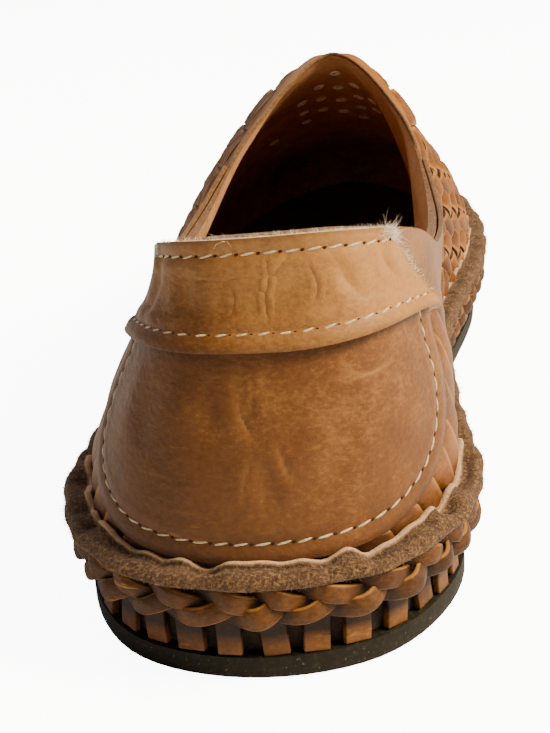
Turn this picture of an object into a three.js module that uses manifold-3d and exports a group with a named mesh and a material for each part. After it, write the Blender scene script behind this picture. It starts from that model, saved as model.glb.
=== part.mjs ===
// Woven leather flat for the left foot: a slip-on with a plaited upper on a thong-laced sole.
// Millimetres, +Z up, toe towards +Y, big-toe side towards +X, floor at Z = 0.
import * as THREE from 'three';
import Module from 'manifold-3d';

const wasm = await Module();
wasm.setup();

// Driving sizes
const WALL = 2.2; // leather wall of the upper
const CLEARANCE = 0.3; // gap between pieces that meet on flat faces
const PANEL_GAP = 0.7; // gap between the upper and a panel sewn over it
const OUTSOLE_THICK = 4.0;
const MIDSOLE_TOP = 13.7;
const UPPER_FOOT = 14.0; // height of the upper's bottom edge
const INSOLE_THICK = 2.5;
const INSOLE_GAP = 1.1; // between the sock and the lining
const OUTSOLE_OUT = 3.0; // outsole's edge beyond the feather line
const OUTSOLE_CHAMFER = 0.8;
const MIDSOLE_OUT = 0.5;
const STRIP_RELIEF = 1.6; // height of a plaited strip over the wall
const FACING_RELIEF = 0.5; // height of the plain facing along the topline, and of the vamp over the quarters
const PLAIT_PITCH = 7.5; // one leaf of the braid, and one thong below it
const COUNTER_THICK = 1.3;
const BAND_THICK = 2.0; // two layers of leather

// Lift of the sole over the floor: height of each part, where it starts and how long it runs
const TOE_SPRING = { height: 9.5, start: 192, length: 80 };
const ARCH = { height: 1.6, start: 78, length: 72 };
const HEEL_ROLL = { height: 0.4, length: 14 };

// Feather line, where the upper meets the sole: lateral and medial point of each station
const FEATHER = [
  { station: 'heel back', latX: 0, latY: 2, medX: 0, medY: 2 },
  { station: 'heel corner', latX: -21.5, latY: 10, medX: 21.5, medY: 10 },
  { station: 'heel side', latX: -33.5, latY: 34, medX: 33.5, medY: 34 },
  { station: 'seat', latX: -34, latY: 68, medX: 31, medY: 68 },
  { station: 'waist', latX: -35, latY: 104, medX: 28.5, medY: 104 },
  { station: 'instep', latX: -37.2, latY: 127, medX: 29.8, medY: 126 },
  { station: 'throat', latX: -39.8, latY: 150, medX: 33, medY: 148 },
  { station: 'ball', latX: -41.5, latY: 184, medX: 39.5, medY: 188 },
  { station: 'toe side', latX: -36, latY: 222, medX: 38.5, medY: 224 },
  { station: 'toe corner', latX: -19, latY: 254, medX: 27, medY: 253 },
  { station: 'toe tip', latX: 5, latY: 267, medX: 5, medY: 267 },
];

// Topline from the heel to the throat: the rim of the opening, leaning a little to the medial side
const TOPLINE = [
  { station: 'heel back', latX: 5.5, medX: 5.5, y: 11, latZ: 76.5, medZ: 76.5 },
  { station: 'heel corner', latX: -8, medX: 20.5, y: 15, latZ: 75, medZ: 76 },
  { station: 'heel side', latX: -16.5, medX: 29, y: 35, latZ: 69, medZ: 70 },
  { station: 'seat', latX: -20.5, medX: 32.5, y: 62, latZ: 59, medZ: 60 },
  { station: 'waist', latX: -18.5, medX: 33, y: 92, latZ: 60, medZ: 60 },
  { station: 'instep', latX: -8, medX: 25.5, y: 121, latZ: 74.4, medZ: 74.4 },
  { station: 'throat', latX: 9, medX: 9, y: 139, latZ: 86.3, medZ: 86.3 },
];

// Ridge of the vamp from the throat to the toe
const RIDGE = [
  { station: 'throat', x: 9, y: 139, z: 86.3 },
  { station: 'ball', x: 8.2, y: 179, z: 67.2 },
  { station: 'toe side', x: 7, y: 217, z: 51 },
  { station: 'toe corner', x: 6, y: 246.5, z: 41 },
  { station: 'toe tip', x: 5.2, y: 263.5, z: 29 },
];

// Rise of the wall at each station: belly and rise leave the feather line, side and drop reach the rim
const RIBS = [
  { station: 'heel back', belly: 2, rise: 22, side: 1, drop: 20 },
  { station: 'heel corner', belly: 2.5, rise: 22, side: 1, drop: 20 },
  { station: 'heel side', belly: 2.8, rise: 20, side: 2, drop: 18 },
  { station: 'seat', belly: 3.5, rise: 18, side: 3, drop: 14 },
  { station: 'waist', belly: 3, rise: 18, side: 4, drop: 13 },
  { station: 'instep', belly: 2.5, rise: 20, side: 9, drop: 10 },
  { station: 'throat', belly: 2, rise: 22, side: 16, drop: 4 },
  { station: 'ball', belly: 1.5, rise: 22, side: 19, drop: 0 },
  { station: 'toe side', belly: 2, rise: 18, side: 18, drop: 0 },
  { station: 'toe corner', belly: 2.5, rise: 12, side: 13, drop: 0 },
  { station: 'toe tip', belly: 0.6, rise: 2.5, side: 1.2, drop: 1 },
];

// Edge of the heel counter: station along the feather line and share of the wall's height
const COUNTER_EDGE = [
  { station: 0.4, height: 0.15 },
  { station: 0.95, height: 0.165 },
  { station: 1.4, height: 0.22 },
  { station: 1.72, height: 0.33 },
  { station: 1.88, height: 0.47 },
  { station: 1.9, height: 0.58 },
  { station: 1.84, height: 0.675 },
];
const COUNTER_GRID = { columns: 20, rows: 8 };
const BAND_GRID = { columns: 22, rows: 3 };
const BAND_LOW = 0.69; // share of the wall's height where the collar band starts
const BAND_ENDS = {
  lateral: { low: 2.0, high: 1.4 },
  medial: { low: 1.85, high: 1.35 },
};

// Zones of the plait, by station and by share of the wall's height; low is in millimetres over the foot
const PLAIT = { start: 2.2, vamp: 4.6, end: 9.3, low: 9.5, quarterHigh: 0.72, vampHigh: 0.9 };
const GAPS = { start: 6.1, end: 8.1, low: 0.5, high: 0.98, size: 2.2, length: 9 };

const TOE = FEATHER.length - 1;
const THROAT = TOPLINE.length - 1;
const LOOP = 2 * TOE; // stations once round the shoe
const STEP = 1e-3; // step of the finite differences
const WELD_DIGITS = 4; // corners that agree to this many decimals are one

// Splines through the tables

function blend(a, b, c, d, t) {
  const square = (2 * a - 5 * b + 4 * c - d) * t * t;
  const cube = (3 * b - a - 3 * c + d) * t * t * t;
  return 0.5 * (2 * b + (c - a) * t + square + cube);
}

function closedSpline(values, u) {
  const n = values.length;
  const i = Math.floor(u);
  const pick = (k) => values[(((i + k) % n) + n) % n];
  return blend(pick(-1), pick(0), pick(1), pick(2), u - i);
}

function openSpline(values, u) {
  const last = values.length - 1;
  const i = Math.max(0, Math.min(Math.floor(u), last - 1));
  const before = i > 0 ? values[i - 1] : 2 * values[0] - values[1];
  const after = i + 2 <= last ? values[i + 2] : 2 * values[last] - values[last - 1];
  return blend(before, values[i], values[i + 1], after, u - i);
}

// Values once round the shoe: lateral side from heel to toe, then medial side back to the heel
function roundTheShoe(rows, lateral, medial) {
  const back = rows.slice(1, -1).reverse();
  return [...rows.map((row) => row[lateral]), ...back.map((row) => row[medial])];
}

const featherX = roundTheShoe(FEATHER, 'latX', 'medX');
const featherY = roundTheShoe(FEATHER, 'latY', 'medY');
const rimX = roundTheShoe(TOPLINE, 'latX', 'medX');
const rimY = roundTheShoe(TOPLINE, 'y', 'y');
const rimZ = roundTheShoe(TOPLINE, 'latZ', 'medZ');
const ridge = Object.fromEntries(['x', 'y', 'z'].map((axis) => [axis, RIDGE.map((row) => row[axis])]));
const handle = Object.fromEntries(
  ['belly', 'rise', 'side', 'drop'].map((name) => [name, roundTheShoe(RIBS, name, name)]),
);

// The last

// Lift of the sole over the floor: toe spring, arch and a slight roll at the back of the heel
function lift(y) {
  const toe = Math.max(0, (y - TOE_SPRING.start) / TOE_SPRING.length);
  const arch = THREE.MathUtils.clamp((y - ARCH.start) / ARCH.length, 0, 1);
  const heel = Math.max(0, 1 - y / HEEL_ROLL.length);
  const hump = Math.sin(Math.PI * arch);
  return TOE_SPRING.height * toe ** 2 + ARCH.height * hump ** 2 + HEEL_ROLL.height * heel ** 2;
}

// Point of the feather line moved outwards in plan, with its outward direction
function feather(u, outwards = 0) {
  const x = closedSpline(featherX, u);
  const y = closedSpline(featherY, u);
  const dx = closedSpline(featherX, u + STEP) - closedSpline(featherX, u - STEP);
  const dy = closedSpline(featherY, u + STEP) - closedSpline(featherY, u - STEP);
  const length = Math.hypot(dx, dy);
  const out = new THREE.Vector3(-dy / length, dx / length, 0);
  return { x: x + out.x * outwards, y: y + out.y * outwards, lift: lift(y), out };
}

// Point beside the feather line: outwards in plan and up from the lifted floor
function besideFeather(u, outwards, z) {
  const at = feather(u, outwards);
  return new THREE.Vector3(at.x, at.y, z + at.lift);
}

// Distance in stations from the back of the heel, the same on both sides
function stationOf(u) {
  const turn = ((u % LOOP) + LOOP) % LOOP;
  return turn <= TOE ? turn : LOOP - turn;
}

// Top of the wall: the topline as far as the throat, then the ridge of the vamp
function rim(u) {
  const turn = ((u % LOOP) + LOOP) % LOOP;
  const station = stationOf(u);
  if (station <= THROAT) {
    const along = turn <= TOE ? station : 2 * THROAT - station;
    return new THREE.Vector3(...[rimX, rimY, rimZ].map((values) => closedSpline(values, along)));
  }
  const along = ((station - THROAT) * (RIDGE.length - 1)) / (TOE - THROAT);
  return new THREE.Vector3(...['x', 'y', 'z'].map((axis) => openSpline(ridge[axis], along)));
}

// Point of the upper's outer face: u runs round the shoe, t from the feather line to the rim
function wall(u, t) {
  const at = feather(u);
  const shape = Object.fromEntries(Object.keys(handle).map((name) => [name, closedSpline(handle[name], u)]));
  const foot = new THREE.Vector3(at.x, at.y, UPPER_FOOT + at.lift);
  const top = rim(u);
  const aside = foot.clone().sub(top).setZ(0).normalize();
  const leave = foot.clone().addScaledVector(at.out, shape.belly);
  leave.z += shape.rise;
  const arrive = top.clone().addScaledVector(aside, shape.side);
  arrive.z -= shape.drop;
  return new THREE.CubicBezierCurve3(foot, leave, arrive, top).getPoint(t);
}

function wallNormal(u, t) {
  const below = Math.max(0, t - STEP);
  const above = Math.min(1, t + STEP);
  const along = wall(u + STEP, t).sub(wall(u - STEP, t));
  const upwards = wall(u, above).sub(wall(u, below));
  return upwards.cross(along).normalize();
}

// Point over the wall by a height, negative inside it. Both sides of the ridge share one point.
function skin(u, t, height) {
  const normal = wallNormal(u, t);
  if (t === 1 && stationOf(u) >= THROAT) normal.add(wallNormal(LOOP - u, t)).normalize();
  return wall(u, t).addScaledVector(normal, height);
}

// Closed meshes

class Solid {
  points = [];
  faces = [];

  add(point) {
    this.points.push(point.x, point.y, point.z);
    return this.points.length / 3 - 1;
  }

  triangle(a, b, c) {
    if (a !== b && b !== c && c !== a) this.faces.push(a, b, c);
  }

  quad(a, b, c, d) {
    this.triangle(a, b, c);
    this.triangle(a, c, d);
  }

  geometry() {
    const made = new THREE.BufferGeometry();
    made.setAttribute('position', new THREE.Float32BufferAttribute(this.points, 3));
    made.setIndex(this.faces);
    made.computeVertexNormals();
    return made;
  }
}

// Columns in each interval between stations, from heel to toe
const UPPER_SPLITS = [4, 5, 6, 7, 4, 4, 6, 6, 6, 5];
const SOLE_SPLITS = [3, 3, 4, 4, 3, 3, 4, 4, 4, 4];

// Stations once round the shoe, split into columns
function columnsRound(splits) {
  const side = splits.flatMap((count, k) => Array.from({ length: count }, (_, i) => k + i / count));
  return [...side, TOE, ...side.slice(1).reverse().map((station) => LOOP - station)];
}

// Flat slab inside the feather line: levels give how far out and how high each edge of its side is
function slab(columns, levels) {
  const solid = new Solid();
  const rings = levels.map(({ out, z }) => columns.map((u) => solid.add(besideFeather(u, out, z))));
  const n = columns.length;
  for (let k = 0; k + 1 < rings.length; k++) {
    for (let i = 0; i < n; i++) {
      const j = (i + 1) % n;
      solid.quad(rings[k][i], rings[k + 1][i], rings[k + 1][j], rings[k][j]);
    }
  }
  const low = rings[0];
  const high = rings.at(-1);
  for (let i = 0; i < n / 2; i++) {
    const across = (n - i) % n;
    const beyond = n - i - 1;
    solid.quad(low[i], low[i + 1], low[beyond], low[across]);
    solid.quad(high[across], high[beyond], high[i + 1], high[i]);
  }
  return solid;
}

// Ring of sections once round the shoe, each a list of points running up its outer side.
// The underside, between the first two points, is left open at the columns that openBelow names.
function ring(columns, section, openBelow = () => false) {
  const solid = new Solid();
  const sections = columns.map((u, i) => section(u, i).map((point) => solid.add(point)));
  const count = sections[0].length;
  sections.forEach((here, i) => {
    const next = sections[(i + 1) % sections.length];
    for (let k = openBelow(i) ? 1 : 0; k < count; k++) {
      const m = (k + 1) % count;
      solid.quad(here[k], here[m], next[m], next[k]);
    }
  });
  return { solid, sections };
}

// Panel sewn over the upper: a grid of columns and rows with two faces and a closed edge
function panel({ columns, rows }, place, thick) {
  const solid = new Solid();
  const face = (height) =>
    Array.from({ length: rows + 1 }, (_, r) =>
      Array.from({ length: columns + 1 }, (_, c) => {
        const { u, t } = place(c / columns, r / rows);
        return solid.add(skin(u, t, height));
      }),
    );
  const inner = face(PANEL_GAP);
  const outer = face(PANEL_GAP + thick);
  for (let r = 0; r < rows; r++) {
    for (let c = 0; c < columns; c++) {
      solid.quad(outer[r][c], outer[r + 1][c], outer[r + 1][c + 1], outer[r][c + 1]);
      solid.quad(inner[r][c], inner[r][c + 1], inner[r + 1][c + 1], inner[r + 1][c]);
    }
    solid.quad(outer[r][0], inner[r][0], inner[r + 1][0], outer[r + 1][0]);
    solid.quad(outer[r][columns], outer[r + 1][columns], inner[r + 1][columns], inner[r][columns]);
  }
  for (let c = 0; c < columns; c++) {
    solid.quad(outer[0][c], outer[0][c + 1], inner[0][c + 1], inner[0][c]);
    solid.quad(outer[rows][c], inner[rows][c], inner[rows][c + 1], outer[rows][c + 1]);
  }
  return solid;
}

function toManifold(geometry) {
  const vertProperties = new Float32Array(geometry.getAttribute('position').array);
  const triVerts = new Uint32Array(geometry.getIndex().array);
  return new wasm.Manifold(new wasm.Mesh({ numProp: 3, vertProperties, triVerts }));
}

function fromManifold(manifold) {
  const mesh = manifold.getMesh();
  const made = new THREE.BufferGeometry();
  made.setAttribute('position', new THREE.Float32BufferAttribute(mesh.vertProperties, 3));
  made.setIndex([...mesh.triVerts]);
  made.computeVertexNormals();
  return made;
}

// Upper: one hollow wall, plaited on the quarters and the vamp, open at the topline and underneath

const UPPER_ROWS = 11;
const LINING_ROWS = 5;

// Kind of surface at a place on the wall
function zone(u, t) {
  const station = stationOf(u);
  const height = wall(u, t).z - wall(u, 0).z;
  if (station < PLAIT.start || station > PLAIT.end || height < PLAIT.low) return 'plain';
  if (station < PLAIT.vamp) return t < PLAIT.quarterHigh ? 'slats' : 'facing';
  return station >= THROAT || t < PLAIT.vampHigh ? 'plait' : 'facing';
}

function relief(u, t, raised) {
  const kind = zone(u, t);
  const strip = raised ? STRIP_RELIEF : 0;
  return { plain: 0, slats: strip, facing: FACING_RELIEF, plait: FACING_RELIEF + strip }[kind];
}

// Box with its corners shared by its faces
function weldBox(box) {
  const solid = new Solid();
  const position = box.getAttribute('position');
  const known = new Map();
  const corner = (i) => {
    const point = new THREE.Vector3().fromBufferAttribute(position, i);
    const key = point.toArray().map((value) => value.toFixed(WELD_DIGITS)).join();
    if (!known.has(key)) known.set(key, solid.add(point));
    return known.get(key);
  };
  const index = box.getIndex();
  for (let i = 0; i < index.count; i += 3) {
    solid.triangle(corner(index.getX(i)), corner(index.getX(i + 1)), corner(index.getX(i + 2)));
  }
  return solid.geometry();
}

// Small openings between the strips of the vamp, where four strips meet
function plaitGaps(columns) {
  const turned = new THREE.BoxGeometry(GAPS.size, GAPS.size, GAPS.length).rotateZ(Math.PI / 4);
  const pins = [];
  columns.forEach((u, i) => {
    const station = stationOf(u);
    if (station <= GAPS.start || station >= GAPS.end || i % 2 === 0) return;
    for (let j = 0; j <= UPPER_ROWS; j += 2) {
      const t = j / UPPER_ROWS;
      if (t <= GAPS.low || t >= GAPS.high) continue;
      const normal = wallNormal(u, t);
      const along = wall(u, t + STEP).sub(wall(u, t - STEP)).normalize();
      const frame = new THREE.Matrix4().makeBasis(along.clone().cross(normal), along, normal);
      pins.push(toManifold(weldBox(turned.clone().applyMatrix4(frame.setPosition(wall(u, t))))));
    }
  });
  return pins.reduce((all, pin) => all.add(pin));
}

function upper() {
  const columns = columnsRound(UPPER_SPLITS);
  const n = columns.length;
  const solid = new Solid();

  const face = (rows, height) => {
    const grid = columns.map(() => []);
    columns.forEach((u, i) => {
      for (let j = 0; j <= rows; j++) {
        const twin = grid[(n - i) % n];
        const shared = j === rows && stationOf(u) >= THROAT && i > n / 2;
        grid[i].push(shared ? twin[rows] : solid.add(skin(u, j / rows, height(u, j, i))));
      }
    });
    return grid;
  };
  const outer = face(UPPER_ROWS, (u, j, i) => relief(u, j / UPPER_ROWS, (i + j) % 2 === 0));
  const lining = face(LINING_ROWS, () => -WALL);

  for (let i = 0; i < n; i++) {
    const k = (i + 1) % n;
    for (let j = 0; j < UPPER_ROWS; j++) {
      const [a, b, c, d] = [outer[i][j], outer[k][j], outer[k][j + 1], outer[i][j + 1]];
      const slats = zone(columns[i], (j + 0.5) / UPPER_ROWS) === 'slats';
      const lateral = i < n / 2;
      const fold = slats ? lateral : (i + j) % 2 === 0; // the diagonal that joins b and d
      if (fold) {
        solid.triangle(b, a, d);
        solid.triangle(b, d, c);
      } else {
        solid.triangle(a, d, c);
        solid.triangle(a, c, b);
      }
    }
    for (let j = 0; j < LINING_ROWS; j++) {
      solid.quad(lining[i][j], lining[k][j], lining[k][j + 1], lining[i][j + 1]);
    }
    solid.quad(outer[i][0], outer[k][0], lining[k][0], lining[i][0]);
    const open = stationOf(columns[i]) <= THROAT && stationOf(columns[k]) <= THROAT;
    if (open) {
      const [oh, lh] = [UPPER_ROWS, LINING_ROWS];
      solid.quad(outer[i][oh], lining[i][lh], lining[k][lh], outer[k][oh]);
    }
  }
  return fromManifold(toManifold(solid.geometry()).subtract(plaitGaps(columns)));
}

// Heel counter: a smooth U-shaped panel sewn over the back
function heelCounter() {
  const edgeStation = COUNTER_EDGE.map((row) => row.station);
  const edgeHeight = COUNTER_EDGE.map((row) => row.height);
  const last = COUNTER_EDGE.length - 1;
  const place = (across, up) => {
    const side = 2 * across - 1;
    const station = openSpline(edgeStation, up * last);
    return { u: side * station, t: openSpline(edgeHeight, up * last) };
  };
  return panel(COUNTER_GRID, place, COUNTER_THICK).geometry();
}

// Collar band: a doubled strip round the top of the heel, with slanted ends
function collarBand() {
  const place = (across, up) => {
    const side = 2 * across - 1;
    const end = side > 0 ? BAND_ENDS.lateral : BAND_ENDS.medial;
    const station = THREE.MathUtils.lerp(end.low, end.high, up);
    return { u: side * station, t: THREE.MathUtils.lerp(BAND_LOW, 1, up) };
  };
  return panel(BAND_GRID, place, BAND_THICK).geometry();
}

// Suede rand: the turned-out edge of the upper, a soft roll between the wall and the braid.
// Lip and fold are heights over the upper's foot; the roll's points lie beside the feather line.
const RAND = { waves: 18, wave: 0.5, lip: 6.2, fold: 1.3, gap: 1.2, thick: 1.1 };
const RAND_ROLL = [
  { out: 3.2, z: 19.0, wave: 0 },
  { out: 6.3, z: 19.1, wave: 1 },
  { out: 5.6, z: 21.2, wave: 1 },
];

const HALVINGS = 30; // of the interval in which a height is sought

// Share of the wall's height that lies a distance over its foot
function shareAtHeight(u, height) {
  const foot = wall(u, 0).z;
  let [low, high] = [0, 1];
  for (let k = 0; k < HALVINGS; k++) {
    const middle = (low + high) / 2;
    if (wall(u, middle).z - foot < height) low = middle;
    else high = middle;
  }
  return low;
}

function suedeRand() {
  const section = (u) => {
    const wave = RAND.wave * Math.sin((RAND.waves * 2 * Math.PI * u) / LOOP);
    const top = shareAtHeight(u, RAND.lip);
    const lip = skin(u, top, RAND.gap + RAND.thick);
    lip.z += RAND.thick + wave;
    return [
      skin(u, shareAtHeight(u, RAND.fold), RAND.gap),
      ...RAND_ROLL.map((point) => besideFeather(u, point.out + point.wave * wave, point.z)),
      lip,
      skin(u, top, RAND.gap),
    ];
  };
  return ring(columnsRound(SOLE_SPLITS), section).solid.geometry();
}

// Braided lacing: one thong plaited into two rows of leaves, with a tab down the sole's edge at each turn
const TAB = { share: 0.58, inner: 0.85, outer: 2.4, top: 11.5, foot: OUTSOLE_THICK + CLEARANCE };
const BRAID_LINE = 4; // the plait is measured this far outside the feather line
const BRAID_SAMPLES = 2000;

// Section of the braid from the tab's top round its outer side, where the upper or the lower leaf swells
const LEAVES = {
  upper: [
    { out: TAB.inner, z: TAB.top },
    { out: TAB.outer, z: 11.4 },
    { out: 4.6, z: 11.7 },
    { out: 5.6, z: 12.9 },
    { out: 6.2, z: 14.9 },
    { out: 7.1, z: 16.5 },
    { out: 5.6, z: 18.3 },
    { out: 3.25, z: 18.2 },
  ],
  lower: [
    { out: TAB.inner, z: TAB.top },
    { out: TAB.outer, z: 11.4 },
    { out: 4.6, z: 11.2 },
    { out: 6.6, z: 12.9 },
    { out: 5.7, z: 14.9 },
    { out: 6.3, z: 16.5 },
    { out: 5.6, z: 17.8 },
    { out: 3.25, z: 18.2 },
  ],
};

// Stations at equal steps of length round the braid, two for each leaf: a tab's width and a gap's
function plaitColumns() {
  const step = LOOP / BRAID_SAMPLES;
  const lengths = [0];
  for (let i = 0; i < BRAID_SAMPLES; i++) {
    const next = besideFeather((i + 1) * step, BRAID_LINE, 0);
    lengths.push(lengths[i] + next.distanceTo(besideFeather(i * step, BRAID_LINE, 0)));
  }
  const total = lengths.at(-1);
  const leaves = Math.round(total / PLAIT_PITCH);
  const atLength = (length) => {
    const i = Math.max(0, lengths.findIndex((value) => value > length) - 1);
    return (i + (length - lengths[i]) / (lengths[i + 1] - lengths[i])) * step;
  };
  return Array.from({ length: 2 * leaves }, (_, i) => {
    const leaf = Math.floor(i / 2) + (i % 2) * TAB.share;
    return atLength((leaf * total) / leaves);
  });
}

function braidedLacing() {
  const columns = plaitColumns();
  const tabStarts = (i) => i % 2 === 0;
  const section = (u, i) =>
    LEAVES[tabStarts(i) ? 'upper' : 'lower'].map((point) => besideFeather(u, point.out, point.z));
  const { solid, sections } = ring(columns, section, tabStarts);
  const footCorner = (u, out) => solid.add(besideFeather(u, out, TAB.foot));
  const foot = columns.map((u) => [footCorner(u, TAB.inner), footCorner(u, TAB.outer)]);
  for (let i = 0; i < columns.length; i += 2) {
    const k = i + 1;
    const [here, next] = [sections[i], sections[k]];
    solid.quad(foot[i][0], foot[i][1], foot[k][1], foot[k][0]);
    solid.quad(here[0], here[1], foot[i][1], foot[i][0]);
    solid.quad(next[1], next[0], foot[k][0], foot[k][1]);
    solid.quad(here[1], next[1], foot[k][1], foot[i][1]);
    solid.quad(next[0], here[0], foot[i][0], foot[k][0]);
  }
  return solid.geometry();
}

// Sole

function outsole() {
  const levels = [
    { out: OUTSOLE_OUT - OUTSOLE_CHAMFER, z: 0 },
    { out: OUTSOLE_OUT, z: OUTSOLE_CHAMFER },
    { out: OUTSOLE_OUT, z: OUTSOLE_THICK },
  ];
  return slab(columnsRound(SOLE_SPLITS), levels).geometry();
}

function midsole() {
  const levels = [
    { out: MIDSOLE_OUT, z: OUTSOLE_THICK + CLEARANCE },
    { out: MIDSOLE_OUT, z: MIDSOLE_TOP },
  ];
  return slab(columnsRound(SOLE_SPLITS), levels).geometry();
}

function insole() {
  const inset = -(WALL + INSOLE_GAP);
  const levels = [
    { out: inset, z: MIDSOLE_TOP + CLEARANCE },
    { out: inset, z: MIDSOLE_TOP + CLEARANCE + INSOLE_THICK },
  ];
  return slab(columnsRound(SOLE_SPLITS), levels).geometry();
}

// Materials and assembly

const FINISH = {
  tanLeather: { color: 0xa86a35, roughness: 0.48 },
  stripLeather: { color: 0xa5672f, roughness: 0.5 },
  thongLeather: { color: 0x8f5526, roughness: 0.5 },
  suede: { color: 0x84603d, roughness: 0.95 },
  soleLeather: { color: 0x3a2415, roughness: 0.8 },
  sockLeather: { color: 0x1d1410, roughness: 0.7 },
  rubber: { color: 0x34322a, roughness: 0.85 },
};

function piece(name, geometry, finish) {
  const material = new THREE.MeshStandardMaterial({ ...FINISH[finish], metalness: 0 });
  const mesh = new THREE.Mesh(geometry, material);
  mesh.name = name;
  return mesh;
}

const shoe = new THREE.Group();
shoe.add(
  piece('outsole', outsole(), 'rubber'),
  piece('midsole', midsole(), 'soleLeather'),
  piece('insole', insole(), 'sockLeather'),
  piece('upper', upper(), 'stripLeather'),
  piece('heel_counter', heelCounter(), 'tanLeather'),
  piece('collar_band', collarBand(), 'tanLeather'),
  piece('suede_rand', suedeRand(), 'suede'),
  piece('braided_lacing', braidedLacing(), 'thongLeather'),
);

// The origin is under the middle of the shoe's box, on the floor
const middle = new THREE.Box3().setFromObject(shoe, true).getCenter(new THREE.Vector3());
shoe.position.set(-middle.x, -middle.y, 0);

export default shoe;
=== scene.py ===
import math

import bpy
import numpy as np
from mathutils import Matrix, Vector


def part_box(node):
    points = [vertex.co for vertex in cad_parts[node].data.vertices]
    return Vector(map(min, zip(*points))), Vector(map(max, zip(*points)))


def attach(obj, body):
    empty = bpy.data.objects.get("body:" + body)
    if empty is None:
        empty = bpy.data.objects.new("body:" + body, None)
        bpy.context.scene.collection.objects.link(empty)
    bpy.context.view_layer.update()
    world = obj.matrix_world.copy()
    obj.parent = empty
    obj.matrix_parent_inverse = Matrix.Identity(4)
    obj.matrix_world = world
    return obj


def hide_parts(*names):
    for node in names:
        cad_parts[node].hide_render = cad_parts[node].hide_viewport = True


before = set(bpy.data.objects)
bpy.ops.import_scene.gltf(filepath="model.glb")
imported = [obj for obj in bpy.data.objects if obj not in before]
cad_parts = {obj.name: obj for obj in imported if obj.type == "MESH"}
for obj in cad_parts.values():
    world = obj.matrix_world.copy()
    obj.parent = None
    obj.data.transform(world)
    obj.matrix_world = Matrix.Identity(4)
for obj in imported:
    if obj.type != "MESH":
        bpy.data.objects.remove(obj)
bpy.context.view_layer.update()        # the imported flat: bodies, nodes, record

bpy.ops.object.select_all(action="DESELECT")
dice = np.random.RandomState(41)    # every uneven thing on the shoe is drawn from here
mm = 0.001

# the last, in mm: heel at y 0, toe forward, medial side at +x, floor at z 0
# each list runs from the heel back to the toe, a row for each station
last = {
    "feather": [    # lateral x, lateral y, medial x, medial y
        (0, 2, 0, 2), (-21.5, 10, 21.5, 10), (-33.5, 34, 33.5, 34), (-34, 68, 31, 68),
        (-35, 104, 28.5, 104), (-37.2, 127, 29.8, 126), (-39.8, 150, 33, 148),
        (-41.5, 184, 39.5, 188), (-36, 222, 38.5, 224), (-19, 254, 27, 253), (5, 267, 5, 267)],
    "topline": [    # lateral x, medial x, y, lateral z, medial z
        (5.5, 5.5, 11, 76.5, 76.5), (-8, 20.5, 15, 75, 76), (-16.5, 29, 35, 69, 70),
        (-20.5, 32.5, 62, 59, 60), (-18.5, 33, 92, 60, 60), (-8, 25.5, 121, 74.4, 74.4),
        (9, 9, 139, 86.3, 86.3)],
    "ridge": [      # x, y, z from the throat to the toe
        (9, 139, 86.3), (8.2, 179, 67.2), (7, 217, 51), (6, 246.5, 41), (5.2, 263.5, 29)],
    "ribs": [       # belly, rise, side, drop: the handles of each wall curve
        (2, 22, 1, 20), (2.5, 22, 1, 20), (2.8, 20, 2, 18), (3.5, 18, 3, 14), (3, 18, 4, 13),
        (2.5, 20, 9, 10), (2, 22, 16, 4), (1.5, 22, 19, 0), (2, 18, 18, 0), (2.5, 12, 13, 0),
        (0.6, 2.5, 1.2, 1)],
    "foot": 14.0,           # the wall's lower edge over the floor
    "toeSpring": 9.5, "springFrom": 192, "springRun": 80,
    "archLift": 1.6, "archFrom": 78, "archRun": 72,
    "heelRoll": 0.4, "rollFrom": 14,
    "soleEdge": 3.0}        # the outsole stands this far outside the feather line


def roundTheShoe(rows, lateral, medial):    # out along the lateral side, back along the medial one
    return np.array([row[lateral] for row in rows] + [row[medial] for row in rows[-2:0:-1]], float)


featherLine = np.stack([roundTheShoe(last["feather"], *pair) for pair in ((0, 2), (1, 3))])
rimLoop = np.stack([roundTheShoe(last["topline"], *pair) for pair in ((0, 1), (2, 2), (3, 4))])
ridgeLine = np.array(last["ridge"], float).T
ribHandles = np.stack([roundTheShoe(last["ribs"], c, c) for c in range(4)])
toe = len(last["feather"]) - 1
throat = len(last["topline"]) - 1
loop = 2 * toe          # u runs round the shoe: heel 0, lateral side, toe 10, medial side, heel 20
nudge = 1e-3
upright = np.array([0, 0, 1.0])


def blend(a, b, c, d, t):
    return 0.5 * (2 * b + (c - a) * t + (2 * a - 5 * b + 4 * c - d) * t**2
                  + (3 * b - a - 3 * c + d) * t**3)


def closedSpline(values, u):
    i = np.floor(u).astype(int)
    count = values.shape[-1]
    return blend(*[values[..., (i + k) % count] for k in (-1, 0, 1, 2)], u - i)


def openSpline(values, u):
    before = 2 * values[..., :1] - values[..., 1:2]
    after = 2 * values[..., -1:] - values[..., -2:-1]
    padded = np.concatenate([before, values, after], -1)
    i = np.clip(np.floor(u).astype(int), 0, values.shape[-1] - 2)
    return blend(*[padded[..., i + k] for k in range(4)], u - i)


def smooth(low, high, x):
    t = np.clip((np.asarray(x, float) - low) / (high - low), 0, 1)
    return t * t * (3 - 2 * t)


def between(low, high, share):
    return low + (high - low) * share


def jitter(size):       # a draw of up to this size either way
    return dice.uniform(-size, size)


def unit(rows):         # every row scaled to length 1
    return rows / np.maximum(np.linalg.norm(rows, axis=1, keepdims=True), 1e-12)


def runAlong(trail):    # mm from the first place of a line to each of its places
    return np.concatenate([[0], np.cumsum(np.linalg.norm(np.diff(trail, axis=0), axis=1))])


def rowsAt(s, run, rows):
    return np.stack([np.interp(s, run, column) for column in rows.T], -1)


def lift(y):
    spring = np.clip((y - last["springFrom"]) / last["springRun"], 0, None)
    arch = np.clip((y - last["archFrom"]) / last["archRun"], 0, 1)
    roll = np.clip(1 - y / last["rollFrom"], 0, None)
    return (last["toeSpring"] * spring**2 + last["archLift"] * np.sin(np.pi * arch)**2
            + last["heelRoll"] * roll**2)


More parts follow.
